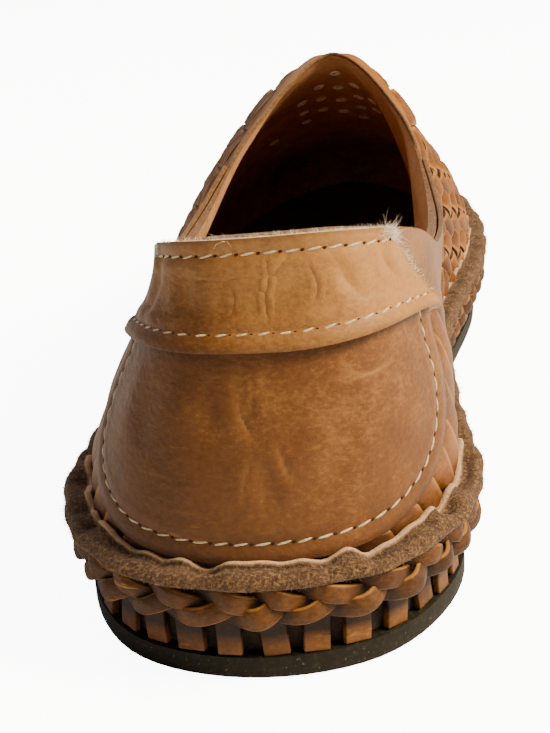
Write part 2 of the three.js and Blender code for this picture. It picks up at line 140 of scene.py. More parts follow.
def feather(u):         # x, y and the outward direction on the line where wall and sole meet
    x, y = closedSpline(featherLine, u)
    dx, dy = closedSpline(featherLine, u + nudge) - closedSpline(featherLine, u - nudge)
    run = np.hypot(dx, dy)
    return x, y, -dy / run, dx / run


def besideFeather(u, out, z):
    x, y, outX, outY = feather(u)
    return np.stack([x + outX * out, y + outY * out, z + lift(y)], -1)


def stationOf(u):
    turn = np.mod(u, loop)
    return np.minimum(turn, loop - turn)


def rim(u):
    turn, station = np.mod(u, loop), stationOf(u)
    onTopline = np.minimum(station, throat)
    topline = closedSpline(rimLoop, np.where(turn <= toe, onTopline, 2 * throat - onTopline))
    ridge = openSpline(ridgeLine, np.clip(station - throat, 0, None))
    return np.where(station <= throat, topline, ridge).T


def wall(u, t):         # the last's own surface: u round the shoe, t from the foot to the rim
    u, t = np.broadcast_arrays(np.asarray(u, float), np.asarray(t, float))
    x, y, outX, outY = feather(u)
    belly, rise, side, drop = closedSpline(ribHandles, u)
    foot = np.stack([x, y, last["foot"] + lift(y)], -1)
    top = rim(u)
    away = unit(foot[:, :2] - top[:, :2])
    leave = foot + np.stack([outX * belly, outY * belly, rise], -1)
    arrive = top + np.concatenate([away * side[:, None], -drop[:, None]], -1)
    t = t[:, None]
    return (foot * (1 - t)**3 + leave * 3 * t * (1 - t)**2
            + arrive * 3 * t**2 * (1 - t) + top * t**3)


def wallNormal(u, t):
    along = wall(u + nudge, t) - wall(u - nudge, t)
    up = wall(u, np.minimum(t + nudge, 1)) - wall(u, np.maximum(t - nudge, 0))
    return unit(np.cross(up, along))


def skin(u, t, height):     # places a height off the wall
    u, t, height = np.broadcast_arrays(*[np.asarray(v, float) for v in (u, t, height)])
    out = wallNormal(u, t)
    onRidge = (t >= 1) & (stationOf(u) >= throat)
    if onRidge.any():
        out[onRidge] += wallNormal(loop - u[onRidge], t[onRidge])
        out = unit(out)
    return wall(u, t) + out * height[:, None]


ribShares = np.linspace(0, 1, 49)


def ribPlaces(u):           # places up the wall at each u
    flat = wall(np.repeat(u, len(ribShares)), np.tile(ribShares, len(u)))
    return flat.reshape(len(u), len(ribShares), 3)


def ribLengths(u):
    steps = np.linalg.norm(np.diff(ribPlaces(u), axis=1), axis=2)
    return np.concatenate([np.zeros((len(u), 1)), np.cumsum(steps, axis=1)], axis=1)


def ribHeights(u):
    z = ribPlaces(u)[:, :, 2]
    return np.maximum.accumulate(z - z[:, :1], axis=1)


def sharesAt(measures, rows):   # the share at which each row reaches its measure
    return np.array([np.interp(measure, row, ribShares) for measure, row in zip(measures, rows)])


# from the last's own frame to the row's frame, read from where the outsole stands
soleOutline = besideFeather(np.linspace(0, loop, 1441), last["soleEdge"], 0)
outsoleLow = np.array(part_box("outsole")[0]) / mm
toRow = np.array([*(outsoleLow - soleOutline.min(0))[:2], 0.0])
print("last: loop", loop, "row shift", np.round(toRow, 2))


# tools for meshes
def readPlaces(piece):
    flat = np.empty(len(piece.data.vertices) * 3, np.float32)
    piece.data.vertices.foreach_get("co", flat)
    return flat.reshape(-1, 3).astype(float)


def placesOnLast(piece):
    return readPlaces(piece) / mm - toRow


def writePlaces(piece, places):
    piece.data.vertices.foreach_set("co", ((places + toRow) * mm).astype(np.float32).ravel())
    piece.data.update()


def makeActive(piece):
    bpy.ops.object.select_all(action="DESELECT")
    piece.select_set(True)
    bpy.context.view_layer.objects.active = piece


def named(name):
    piece = bpy.context.object
    piece.name = piece.data.name = name
    return piece


def startEdit():
    bpy.ops.object.mode_set(mode="EDIT")
    bpy.ops.mesh.select_all(action="SELECT")


def endEdit():
    bpy.ops.object.mode_set(mode="OBJECT")


def gridOf(name, columns, rows):    # a flat grid and the shares of its vertices, 0..1
    bpy.ops.object.select_all(action="DESELECT")
    bpy.ops.mesh.primitive_grid_add(x_subdivisions=columns, y_subdivisions=rows, size=1, location=(0, 0, 0))
    piece = named(name)
    return piece, readPlaces(piece)[:, :2] + 0.5


def sheetOf(name, columns, rows, place):    # a grid, shaped by its own shares
    piece, shares = gridOf(name, columns, rows)
    writePlaces(piece, place(*shares.T))
    return piece


def closeSeams(piece, turnOut=True):
    makeActive(piece)
    startEdit()
    bpy.ops.mesh.remove_doubles(threshold=0.02 * mm)
    if turnOut:
        bpy.ops.mesh.normals_make_consistent(inside=False)
    endEdit()


def applyModifier(piece, kind, **settings):
    makeActive(piece)
    modifier = piece.modifiers.new(kind.lower(), kind)
    for key, value in settings.items():
        setattr(modifier, key, value)
    bpy.ops.object.modifier_apply(modifier=modifier.name)


def thicken(piece, thick, inwards=False, shares=None):
    settings = {}
    if shares is not None:      # thinner where a vertex's share is below 1
        group = piece.vertex_groups.new(name="shares")
        for index, share in enumerate(shares):
            group.add([index], float(share), "REPLACE")
        settings["vertex_group"] = group.name
    applyModifier(piece, "SOLIDIFY", thickness=thick * mm, offset=-1 if inwards else 1,
                  use_even_offset=False, use_rim=True, material_offset_rim=1, **settings)
    piece.vertex_groups.clear()


def roundEdges(piece, width, segments=2, angle=60):
    applyModifier(piece, "BEVEL", width=width * mm, segments=segments, limit_method="ANGLE",
                  angle_limit=math.radians(angle), use_clamp_overlap=True)


def joinedCopies(name, master, places):     # places: copy, vertex, xyz in mm
    faces = [list(face.vertices) for face in master.data.polygons]
    count = len(master.data.vertices)
    everyFace = [[v + copy * count for v in face] for copy in range(len(places)) for face in faces]
    mesh = bpy.data.meshes.new(name)
    mesh.from_pydata(((places.reshape(-1, 3) + toRow) * mm).tolist(), [], everyFace)
    mesh.update()
    bpy.data.objects.remove(master, do_unlink=True)
    piece = bpy.data.objects.new(name, mesh)
    bpy.context.collection.objects.link(piece)
    return piece


def giveValues(piece, **values):            # values on the vertices, for the materials
    for name, value in values.items():
        layer = piece.data.attributes.new(name, "FLOAT", "POINT")
        layer.data.foreach_set("value", np.full(len(piece.data.vertices), value, np.float32))


def dress(piece, *names):
    for name in names:
        piece.data.materials.append(paints[name])


def hand(piece, slot, *nodes):              # ride on the shoe's one body, stand for its node
    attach(piece, "root")
    if nodes:
        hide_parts(*nodes)
    count = sum(len(face.vertices) - 2 for face in piece.data.polygons)
    print("made", piece.name, count, "triangles")


def complete(piece, slot, *nodes, paint=(), thick=0, inwards=False, shares=None, bevel=0, angle=None):
    dress(piece, *paint)
    if thick:
        thicken(piece, thick, inwards, shares)
    if bevel:
        roundEdges(piece, bevel)
    makeActive(piece)
    if angle is None:
        bpy.ops.object.shade_smooth()
    else:
        bpy.ops.object.shade_smooth_by_angle(angle=math.radians(angle))
    hand(piece, slot, *nodes)


# finishes: two shared effects as node groups, then one material for each hide, thread and rubber
def rgb(red, green, blue):      # a colour as a paint chart gives it, 0..255
    def linear(c):
        c /= 255
        return c / 12.92 if c <= 0.04045 else ((c + 0.055) / 1.055)**2.4
    return (linear(red), linear(green), linear(blue), 1.0)


def newGroup(name, inputs, outputs):
    tree = bpy.data.node_groups.new(name, "ShaderNodeTree")
    for label in inputs:
        socket = tree.interface.new_socket(label, in_out="INPUT", socket_type="NodeSocketFloat")
        socket.default_value = 1.0
    for label in outputs:
        tree.interface.new_socket(label, in_out="OUTPUT", socket_type="NodeSocketFloat")
    return tree, tree.nodes.new("NodeGroupInput"), tree.nodes.new("NodeGroupOutput")


def addNode(tree, kind, wires=None, **settings):    # wires: socket name or number to a value or output
    node = tree.nodes.new(kind)
    for key, value in settings.items():
        setattr(node, key, value)
    wire(tree, node, wires or {})
    return node


def wire(tree, node, wires):
    for socket, source in wires.items():
        if isinstance(source, bpy.types.NodeSocket):
            tree.links.new(source, node.inputs[socket])
        else:
            node.inputs[socket].default_value = source


def sums(tree, operation, a, b, clamp=False):
    return addNode(tree, "ShaderNodeMath", {0: a, 1: b}, operation=operation, use_clamp=clamp).outputs[0]


def weighted(tree, *pairs):         # a sum of values, each by its weight
    terms = [sums(tree, "MULTIPLY", value, weight) for value, weight in pairs]
    while len(terms) > 1:
        terms.append(sums(tree, "ADD", terms.pop(0), terms.pop(0)))
    return terms[0]


def objectNoise(tree, scale, detail, rough=0.55, stretch=(1, 1, 1), distort=0.0):
    where = addNode(tree, "ShaderNodeTexCoord").outputs["Object"]
    if stretch != (1, 1, 1):
        where = addNode(tree, "ShaderNodeMapping", {"Vector": where, "Scale": stretch}).outputs[0]
    return addNode(tree, "ShaderNodeTexNoise", {"Vector": where, "Scale": scale, "Detail": detail,
                   "Roughness": rough, "Distortion": distort}).outputs[0]


def ranged(tree, value, low, high, toLow=0.0, toHigh=1.0):
    return addNode(tree, "ShaderNodeMapRange", {0: value, 1: low, 2: high, 3: toLow, 4: toHigh},
                   clamp=True).outputs[0]


# grain of a vegetable tanned hide: pores and fine wrinkles, cloudy dye, light rub marks
grain = {      # a noise is its scale, detail, roughness, stretch and distortion
    "cells": 760.0, "fine": (2400.0, 3.0), "wrinkle": (230.0, 5.0, 0.6, (1, 1, 1.8), 0.6),
    "relief": (0.55, 0.35, 1.1),        # weights of cells, fine and wrinkle
    "clouds": [                         # noise, the span of it that shows, weight
        ((26.0, 3.0, 0.5, (1, 1, 1), 0.4), (0.32, 0.68), 0.28),
        ((140.0, 5.0, 0.62), (0.3, 0.7), 0.34),
        ((900.0, 3.0, 0.7, (1, 1, 1.6)), (0.3, 0.7), 0.38)],
    "rubs": [                           # streaks inside patches
        ((330.0, 4.0, 0.7, (0.45, 0.45, 2.6), 0.8), (0.58, 0.74)), ((55.0, 2.0), (0.45, 0.7))]}
hideMarks, hideIn, hideOut = newGroup("hideMarks", ("Clouds", "Rubs"), ("Height", "Cloud", "Rub"))
cells = addNode(hideMarks, "ShaderNodeTexVoronoi", {
    "Vector": addNode(hideMarks, "ShaderNodeTexCoord").outputs["Object"], "Scale": grain["cells"],
    "Randomness": 1.0}, feature="SMOOTH_F1").outputs["Distance"]
relief = [cells] + [objectNoise(hideMarks, *grain[key]) for key in ("fine", "wrinkle")]
clouds = weighted(hideMarks, *[(ranged(hideMarks, objectNoise(hideMarks, *noise), *span), weight)
                               for noise, span, weight in grain["clouds"]])
centred = sums(hideMarks, "MULTIPLY", sums(hideMarks, "SUBTRACT", clouds, 0.5), hideIn.outputs["Clouds"])
rubs = sums(hideMarks, "MULTIPLY", *[ranged(hideMarks, objectNoise(hideMarks, *noise), *span)
                                     for noise, span in grain["rubs"]])
wire(hideMarks, hideOut, {
    "Height": weighted(hideMarks, *zip(relief, grain["relief"])),
    "Cloud": sums(hideMarks, "ADD", centred, 0.5, True),
    "Rub": sums(hideMarks, "MULTIPLY", rubs, hideIn.outputs["Rubs"])})

# short fibre of suede, raw edges, fluff and worn board
nap = {
    "tufts": 900.0, "tuftLook": (5.0, 0.7), "brushed": (640.0, 4.0, 0.65, (1, 1, 1.5), 1.2),
    "tuftSpan": (0.33, 0.68), "brushedSpan": (0.34, 0.68), "weights": (0.62, 0.38)}
napMarks, napIn, napOut = newGroup("napMarks", ("Size",), ("Height", "Tone"))
tuftScale = sums(napMarks, "MULTIPLY", napIn.outputs["Size"], nap["tufts"])
tufts = objectNoise(napMarks, tuftScale, *nap["tuftLook"])
brushed = objectNoise(napMarks, *nap["brushed"])
napTones = [ranged(napMarks, tufts, *nap["tuftSpan"]), ranged(napMarks, brushed, *nap["brushedSpan"])]
wire(napMarks, napOut, {"Height": sums(napMarks, "ADD", tufts, brushed),
                        "Tone": weighted(napMarks, *zip(napTones, nap["weights"]))})


def startMaterial(name, constants):     # constants: values on the shader's own sockets
    material = bpy.data.materials.new(name)
    material.use_nodes = True
    shader = material.node_tree.nodes["Principled BSDF"]
    wire(material.node_tree, shader, constants)
    return material, material.node_tree, shader


def mixed(tree, factor, a, b, kind="MIX"):
    return addNode(tree, "ShaderNodeMix", {0: factor, 6: a, 7: b}, data_type="RGBA",
                   blend_type=kind).outputs[2]


def ramp(tree, value, places, colours):
    node = addNode(tree, "ShaderNodeValToRGB", {0: value})
    while len(node.color_ramp.elements) < len(places):
        node.color_ramp.elements.new(0.5)
    for element, place, colour in zip(node.color_ramp.elements, places, colours):
        element.position = place
        element.color = rgb(*colour)
    return node.outputs[0]


def vertexValue(tree, name):
    return addNode(tree, "ShaderNodeAttribute", attribute_name=name).outputs["Fac"]


def bump(tree, height, strength, distance):
    return addNode(tree, "ShaderNodeBump", {"Height": height, "Strength": strength,
                                            "Distance": distance * mm}).outputs[0]


def hideMaterial(name, dyes, worn, gloss, pores, rubs=1.0, clouds=1.0, coat=0.0):
    material, tree, shader = startMaterial(name, {
        "Specular IOR Level": 0.18, "Coat Weight": coat, "Coat Roughness": 0.34})
    marks = addNode(tree, "ShaderNodeGroup", {"Clouds": clouds, "Rubs": rubs}, node_tree=hideMarks).outputs
    tone = sums(tree, "ADD", marks["Cloud"], vertexValue(tree, "tone"), True)
    colour = ramp(tree, tone, (0.08, 0.5, 0.95), dyes)
    # the first values mix in a pale colour that stands for wear and for painted highlight; the next multiply
    # by the darkest dye, painted shade in recesses and under parts, and darker edges
    for factor in (marks["Rub"], vertexValue(tree, "worn")):
        colour = mixed(tree, factor, colour, rgb(*worn))
    colour = mixed(tree, vertexValue(tree, "grime"), colour, rgb(*dyes[0]), "MULTIPLY")
    uneven = weighted(tree, (marks["Cloud"], 0.16), (marks["Rub"], 0.2))
    wire(tree, shader, {"Base Color": colour, "Roughness": sums(tree, "ADD", uneven, gloss, True),
                        "Normal": bump(tree, marks["Height"], pores, 0.22)})
    return material


def napMaterial(name, dyes, size, depth, sheen, lip=None):
    material, tree, shader = startMaterial(name, {
        "Specular IOR Level": 0.2, "Sheen Weight": sheen, "Sheen Roughness": 0.6})
    marks = addNode(tree, "ShaderNodeGroup", {"Size": size}, node_tree=napMarks).outputs
    colour = ramp(tree, marks["Tone"], (0.1, 0.5, 0.92), dyes)
    if lip:
        colour = mixed(tree, vertexValue(tree, "lip"), colour, rgb(*lip))
    rough = sums(tree, "ADD", sums(tree, "MULTIPLY", marks["Tone"], 0.1), 0.84)
    wire(tree, shader, {"Base Color": colour, "Roughness": rough,
                        "Normal": bump(tree, marks["Height"], depth, 0.5)})
    return material


def rubberMaterial(name, dyes, crumbs):     # sheet rubber with pale crumbs in it
    material, tree, shader = startMaterial(name, {"Specular IOR Level": 0.15})
    marks = addNode(tree, "ShaderNodeGroup", {"Size": 0.9}, node_tree=napMarks).outputs
    colour = ramp(tree, marks["Tone"], (0.15, 0.55, 0.95), dyes)
    specks = sums(tree, "MULTIPLY", ranged(tree, objectNoise(tree, 1500.0, 2.0), 0.66, 0.72), 0.4)
    wire(tree, shader, {"Base Color": mixed(tree, specks, colour, rgb(*crumbs)),
                        "Roughness": ranged(tree, marks["Tone"], 0.0, 1.0, 0.62, 0.8),
                        "Normal": bump(tree, marks["Height"], 0.4, 0.2)})
    return material


# the pale colour in each finish is mixed in for wear and for painted highlight
hideFinishes = {    # dark, middle and light dye, worn colour, roughness, pore depth, rubs, clouds, coat
    "tanHide": (((56, 28, 8), (94, 55, 20), (150, 103, 52)), (176, 120, 58), 0.44, 0.75, 0.35, 0.52),
    "stripHide": (((56, 27, 5), (94, 52, 12), (130, 78, 27)), (176, 118, 56), 0.46, 0.55),
    "plaitHide": (((28, 13, 2), (62, 33, 4), (98, 57, 12)), (176, 118, 56), 0.48, 1.0),
    "tabHide": (((54, 28, 7), (88, 50, 14), (116, 71, 24)), (176, 118, 56), 0.5, 0.45, 1.0, 1.0, 0.05),
    "insideHide": (((134, 90, 52), (176, 126, 82), (200, 152, 106)), (94, 52, 12), 0.55, 0.3, 0.4),
    "sockHide": (((78, 47, 22), (116, 74, 38), (142, 98, 56)), (176, 126, 82), 0.62, 0.4, 0.5)}
napFinishes = {     # dark, middle and light dye, fibre size, bump depth, sheen, colour of a cut lip
    "suedeNap": (((42, 25, 11), (84, 56, 31), (138, 104, 68)), 1.9, 1.0, 0.05, (192, 150, 114)),
    "edgeCut": (((54, 31, 11), (92, 58, 25), (126, 86, 45)), 1.6, 0.55, 0.1),
    "rawCut": (((136, 98, 58), (176, 138, 92), (206, 176, 134)), 1.6, 0.55, 0.2),
    "boardEdge": (((18, 11, 6), (34, 21, 12), (52, 33, 19)), 0.8, 0.6, 0.05),
    "fluffFibre": (((190, 172, 146), (222, 208, 186), (240, 232, 218)), 2.0, 0.1, 0.3),
    "linenThread": (((140, 118, 88), (182, 160, 128), (212, 194, 166)), 2.4, 0.4, 0.1),
    "needleHoleShade": (((20, 12, 8), (38, 24, 15), (58, 38, 24)), 2.0, 0.2, 0.0)}
rubberFinish = ((13, 10, 4), (25, 20, 9), (44, 36, 19)), (104, 98, 78)      # dyes and crumbs
paints = {name: hideMaterial(name, *finish) for name, finish in hideFinishes.items()}
paints.update({name: napMaterial(name, *finish) for name, finish in napFinishes.items()})
paints["treadRubber"] = rubberMaterial("treadRubber", *rubberFinish)
print("finishes ready", len(paints))


# rings round the shoe are laid by length, so that their waves and leaves keep one pitch
def ringByLength(out, z):       # its length, u at a length along it, the toe's length
    u = np.linspace(0, loop, 2401)
    run = runAlong(besideFeather(u, out, z))
    return run[-1], lambda s: np.interp(np.mod(s, run[-1]), run, u), run[len(u) // 2]


# soles: a flat sheet with the outline of the last, extruded up and rounded at the edge
soles = {
    "outsole": {"out": 2.9, "low": 0.0, "thick": 4.0, "edge": 0.9},
    "midsole": {"out": 0.5, "low": 4.3, "thick": 9.4, "edge": 0.5},
    "insole": {"out": -3.3, "low": 14.0, "thick": 2.5, "edge": 0.7,
               "hollows": [(40, 26), (185, 34)],        # seat and ball: y, run
               "hollowWide": 22, "hollowDeep": 0.9},
    "columns": 96, "rows": 40, "middle": (0, 134)}


def soleSheet(name, sizes):
    length, ringU, toeRun = ringByLength(sizes["out"], sizes["low"])

    def place(a, b):        # the square grid becomes a disc, the disc takes the outline
        x, y = 2 * a - 1, 2 * b - 1
        forward, sideways = x * np.sqrt(1 - y * y / 2), y * np.sqrt(1 - x * x / 2)
        reach, turn = np.hypot(forward, sideways), np.arctan2(sideways, forward)
        edge = besideFeather(ringU(toeRun + turn / (2 * np.pi) * length), sizes["out"], 0)
        spot = soles["middle"] + (edge[:, :2] - soles["middle"]) * reach[:, None]
        return np.column_stack([spot, sizes["low"] + lift(spot[:, 1])])
    piece = sheetOf(name, soles["columns"], soles["rows"], place)
    startEdit()
    bpy.ops.mesh.extrude_region_move(TRANSFORM_OT_translate={"value": (0, 0, sizes["thick"] * mm)})
    endEdit()
    closeSeams(piece)
    roundEdges(piece, sizes["edge"], 3, 40)
    if "hollows" in sizes:
        places = placesOnLast(piece)
        onTop = places[:, 2] > sizes["low"] + lift(places[:, 1]) + sizes["thick"] / 2
        for at, run in sizes["hollows"]:
            away = np.hypot(places[:, 0] / sizes["hollowWide"], (places[:, 1] - at) / run)
            places[:, 2] -= np.where(onTop, sizes["hollowDeep"] * np.exp(-away**2), 0)
        writePlaces(piece, places)
    return piece


for name, slot, node, paint in (("outsoleRubber", "rubber", "outsole", "treadRubber"),
                                ("midsoleBoard", "board", "midsole", "boardEdge"),
                                ("insoleSock", "sock", "insole", "sockHide")):
    complete(soleSheet(name, soles[node]), slot, node, paint=[paint], angle=40)


# vamp lattice: strips cross at 45 degrees to the ridge, counted from the throat
weave = {
    "pitch": 8.3, "halfWidth": 0.455, "reach": 0.72, "height": 2.3, "base": 0.2, "thick": 1.0,
    "edgeDrop": 0.5, "edgeFrom": 0.28, "from": 4.6, "measureAt": 0.72, "lowest": 5.0, "tuck": 2.0,
    "backClip": 0.12, "backEdge": 0.15, "latticeFrom": 3.8, "latticeSteps": 400,
    "toneSpread": 0.17, "cellTone": 0.05, "puffs": (0.86, 1.1), "puffRun": 1.1,
    "wingFlat": 0.45, "wingFrom": (6.0, -8.0),      # the lateral wing lies flatter along the opening
    "wingEnd": 8.0, "margin": 1.5,                  # cells beside the opening keep this far from its edge
    "footEase": (1.0, 9.0), "footLow": 0.4, "edgeEase": (3.0, 15.0), "edgeLow": 0.1,
    "tucked": (4.4, 2.2), "press": 0.45, "deepest": -0.2, "thinned": 0.75,      # under the edge strip
    "wornEdge": 0.45, "wornFrom": 0.4, "wornEnd": (0.55, 0.3), "wornTop": 0.16, "topRun": (0.3, 0.0),
    "grime": 0.75, "grimeFrom": (0.3, 0.56)}
latticeStations = np.linspace(weave["latticeFrom"], toe, weave["latticeSteps"])
latticeRun = np.zeros(len(latticeStations))
for side in (latticeStations, loop - latticeStations):
    latticeRun += 0.5 * runAlong(wall(side, np.full(len(side), weave["measureAt"])))
latticeRun -= np.interp(throat, latticeStations, latticeRun)
diagonal = weave["pitch"] / math.sqrt(2)


def latticeSpot(across, along, medial):     # mm from the ridge, mm from the throat
    station = np.interp(along, latticeRun, latticeStations)
    u = np.where(medial, loop - station, station)
    lengths = ribLengths(u)
    run = np.clip(lengths[:, -1] - across, weave["tuck"], lengths[:, -1])
    return u, sharesAt(run, lengths), run


# the hollow wall of the upper, with pinholes at the lattice corners over the instep
upper = {
    "columns": 380, "rows": 46, "outer": -0.35, "thick": 1.75,
    "pare": 0.72, "pareFrom": (82, 112), "pareRun": (7.0, 0.5),     # the throat's edge is skived thin
    "pinhole": 0.9, "pinDepth": 9, "pinSides": 14, "pinRows": 4, "pinSpread": 4, "pinFan": (1.5, 0.9),
    "pinFirst": 1.5, "pinKept": 0.7, "rimRadius": 1.2, "rimThick": 0.36, "rimSink": 0.05}
upperWall = sheetOf("upperWall", upper["columns"], upper["rows"],
                    lambda a, b: skin(loop * (1 - a), b, upper["outer"]))
closeSeams(upperWall, turnOut=False)
dress(upperWall, "insideHide", "edgeCut")
rimTurns = np.linspace(0, loop, 721)
wallPlaces = placesOnLast(upperWall)
rimGap = np.full(len(wallPlaces), 1e3)
for spot in rim(rimTurns)[np.minimum(rimTurns, loop - rimTurns) <= throat]:
    rimGap = np.minimum(rimGap, np.linalg.norm(wallPlaces - spot, axis=1))
pared = smooth(*upper["pareRun"], rimGap) * smooth(*upper["pareFrom"], wallPlaces[:, 1])
thicken(upperWall, upper["thick"], True, 1 - upper["pare"] * pared)

pinSpots = []
for row in range(upper["pinRows"]):
    fan = upper["pinFan"][0] + upper["pinFan"][1] * row
    for col in range(-upper["pinSpread"], upper["pinSpread"] + 1):
        along = (2 * row + upper["pinFirst"] + (col % 2)) * diagonal
        if abs(col) < fan and dice.uniform() < upper["pinKept"]:
            pinSpots.append((abs(col) * diagonal, along, col > 0))
pinU, pinT = latticeSpot(*(np.array(v) for v in zip(*pinSpots)))[:2]
pinNormals = wallNormal(pinU, np.minimum(pinT, 0.995))


def pinCopies(name, height):    # the active master at every pinhole, its z along the wall's normal
    master = named(name + "Master")
    helper = np.where(np.abs(pinNormals[:, 2:]) > 0.9, [[1.0, 0, 0]], [[0, 0, 1.0]])
    side = unit(np.cross(helper, pinNormals))
    axes = np.stack([side, np.cross(pinNormals, side), pinNormals], 1)
    spots = skin(pinU, pinT, height)[:, None, :]
    return joinedCopies(name, master, spots + np.einsum("vk,nkj->nvj", readPlaces(master), axes))


bpy.ops.mesh.primitive_cylinder_add(vertices=upper["pinSides"], radius=upper["pinhole"],
                                    depth=upper["pinDepth"], location=(0, 0, 0))
pins = pinCopies("pins", 0.0)
applyModifier(upperWall, "BOOLEAN", object=pins, operation="DIFFERENCE", solver="EXACT")
bpy.data.objects.remove(pins, do_unlink=True)
complete(upperWall, "strips", "upper", angle=45)

# pale rings round the pinholes on the wall's inner face: painted highlight where light catches their rims
bpy.ops.mesh.primitive_torus_add(major_segments=upper["pinSides"], minor_segments=6,
                                 major_radius=upper["rimRadius"], minor_radius=upper["rimThick"])
pinRimHighlights = pinCopies("pinholeHighlightRims", upper["outer"] - upper["thick"] + upper["rimSink"])
complete(pinRimHighlights, "strips", paint=["fluffFibre"])


# vamp weave: one pillow for each crossing, its ends dipping under the strips beside it
pillow, pillowShares = gridOf("pillow", 10, 6)
endShare = (2 * pillowShares[:, 0] - 1) * weave["reach"]           # along the strip
sideShare = (2 * pillowShares[:, 1] - 1) * weave["halfWidth"]      # across it
endGap, sideGap = np.abs(endShare), np.abs(sideShare)
wovenCells = []
for m in range(-30, 31):
    for n in range(-30, 31):
        along, across = (m + n) * diagonal, (m - n) * diagonal
        station = np.interp(along, latticeRun, latticeStations)
        if along < latticeRun[0] + 1 or along > latticeRun[-1] or station < weave["from"]:
            continue
        u = np.array([loop - station if across > 0 else station])
        if ribLengths(u)[0, -1] - abs(across) > weave["lowest"]:
            halves = (-1, 1) if m == n and along < -1 else (0,)     # a cell on the rim shows on both sides
            wovenCells += [(m, n, half) for half in halves]
stripTone = {(family, index): jitter(1) * weave["toneSpread"]
             for family in (0, 1) for index in range(-31, 32)}
cellPlaces, cellShares = [], []
cellValues = {"tone": [], "worn": [], "grime": []}
weaveBack, weaveEnd = (np.interp(weave["from"] - weave[key], latticeStations, latticeRun)
                       for key in ("backClip", "backEdge"))
for m, n, half in wovenCells:
    family = (m + n) % 2
    a, b = (m + endShare, n + sideShare) if family == 0 else (m - sideShare, n + endShare)
    along, across = (a + b) * diagonal, (a - b) * diagonal
    ownSide = half or np.sign(m - n)
    if (m + n) * diagonal < weave["wingEnd"] and ownSide:      # the wings stay on their side
        across = ownSide * np.maximum(ownSide * across, weave["margin"])
    along = np.clip(along, weaveBack, latticeRun[-1])
    if not ownSide:
        along = np.maximum(along, weave["margin"])
    u, t, run = latticeSpot(np.abs(across), along, across > 0)
    puff = weave["height"] * np.cos(np.pi * endShare / weave["puffRun"])
    puff *= dice.uniform(*weave["puffs"])
    puff -= weave["edgeDrop"] * smooth(weave["edgeFrom"], weave["halfWidth"], sideGap)
    nearEdge = np.where(along > 0, np.hypot(along, across), np.abs(across))
    nearEdge = np.minimum(nearEdge, along - weaveEnd)
    wing = 1 - weave["wingFlat"] * smooth(*weave["wingFrom"], along) * (ownSide < 0)
    onFoot = between(weave["footLow"], 1, smooth(*weave["footEase"], run))
    onEdge = between(weave["edgeLow"], 1, smooth(*weave["edgeEase"], nearEdge))
    tucked = smooth(*weave["tucked"], nearEdge)        # thinned and pressed down under the edge strip
    height = weave["base"] + puff * wing * onFoot * onEdge - weave["press"] * tucked
    cellShares.append(1 - weave["thinned"] * tucked)
    cellPlaces.append(skin(u, t, np.maximum(height, weave["deepest"])))
    tone = stripTone[(family, n if family == 0 else m)] + jitter(weave["cellTone"])
    cellValues["tone"].append(np.full(len(u), tone))
    wornEdge = smooth(weave["wornFrom"], weave["halfWidth"], sideGap) * smooth(*weave["wornEnd"], endGap)
    wornTop = smooth(*weave["topRun"], endGap) * dice.uniform(0, 1)
    cellValues["worn"].append(weave["wornEdge"] * wornEdge + weave["wornTop"] * wornTop)
    # painted shade: darker towards each pillow's ends, where it dips under the strips beside it
    cellValues["grime"].append(weave["grime"] * smooth(*weave["grimeFrom"], endGap))
vampWeave = joinedCopies("vampWeave", pillow, np.array(cellPlaces))
giveValues(vampWeave, **{name: np.concatenate(value) for name, value in cellValues.items()})
complete(vampWeave, "strips", paint=["stripHide", "edgeCut"], thick=weave["thick"], inwards=True,
         shares=np.concatenate(cellShares), angle=50)


# heel counter: a U of one hide, its side edge from a rounded formula
# soft creases on the panels are listed: points (u, share), half width mm, depth mm, paleness
counter = {
    "station": 1.9, "shoulder": 0.58, "depth": 0.458, "squareness": 3.0, "roundness": 2.6, "tuck": 0.03,
    "lean": 0.035, "leanRun": 0.08, "inner": 0.45, "thick": 1.25, "columns": 210, "rows": 110, "seamIn": 3.3,
    "stationLength": 21.0, "wallLength": 63.0, "heightShade": (-0.15, -0.03), "heightShadeFrom": (0.12, 0.6),
    "sideShade": 0.07, "hemShade": 0.45, "overlap": 0.0, "seamPull": (1.0, 0.28), "seamSteps": 160,
    "creases": [
        ([(0.22, 0.66), (0.16, 0.58), (0.10, 0.52), (0.02, 0.46)], 1.6, 0.24, 0.2),
        ([(0.14, 0.53), (0.07, 0.495), (0.0, 0.462)], 0.4, 0.17, 0.75),
        ([(0.05, 0.60), (0.03, 0.55), (0.06, 0.50)], 0.35, 0.12, 0.4),
        ([(-0.20, 0.44), (-0.25, 0.39), (-0.31, 0.34)], 0.7, 0.18, 0.4),
        ([(-0.05, 0.42), (-0.12, 0.33), (-0.16, 0.27)], 1.8, 0.2, 0.1),
        ([(0.02, 0.40), (0.05, 0.34), (0.04, 0.28)], 0.5, 0.12, 0.2),
        ([(0.42, 0.64), (0.38, 0.52), (0.36, 0.44)], 2.6, 0.24, 0.0),
        ([(-1.20, 0.62), (-0.95, 0.60), (-0.80, 0.605)], 0.8, 0.16, 0.5),
        ([(0.95, 0.60), (1.02, 0.5), (1.0, 0.40)], 3.0, 0.28, 0.0),
        ([(-0.75, 0.50), (-0.62, 0.38), (-0.60, 0.30)], 2.4, 0.22, 0.1)]}
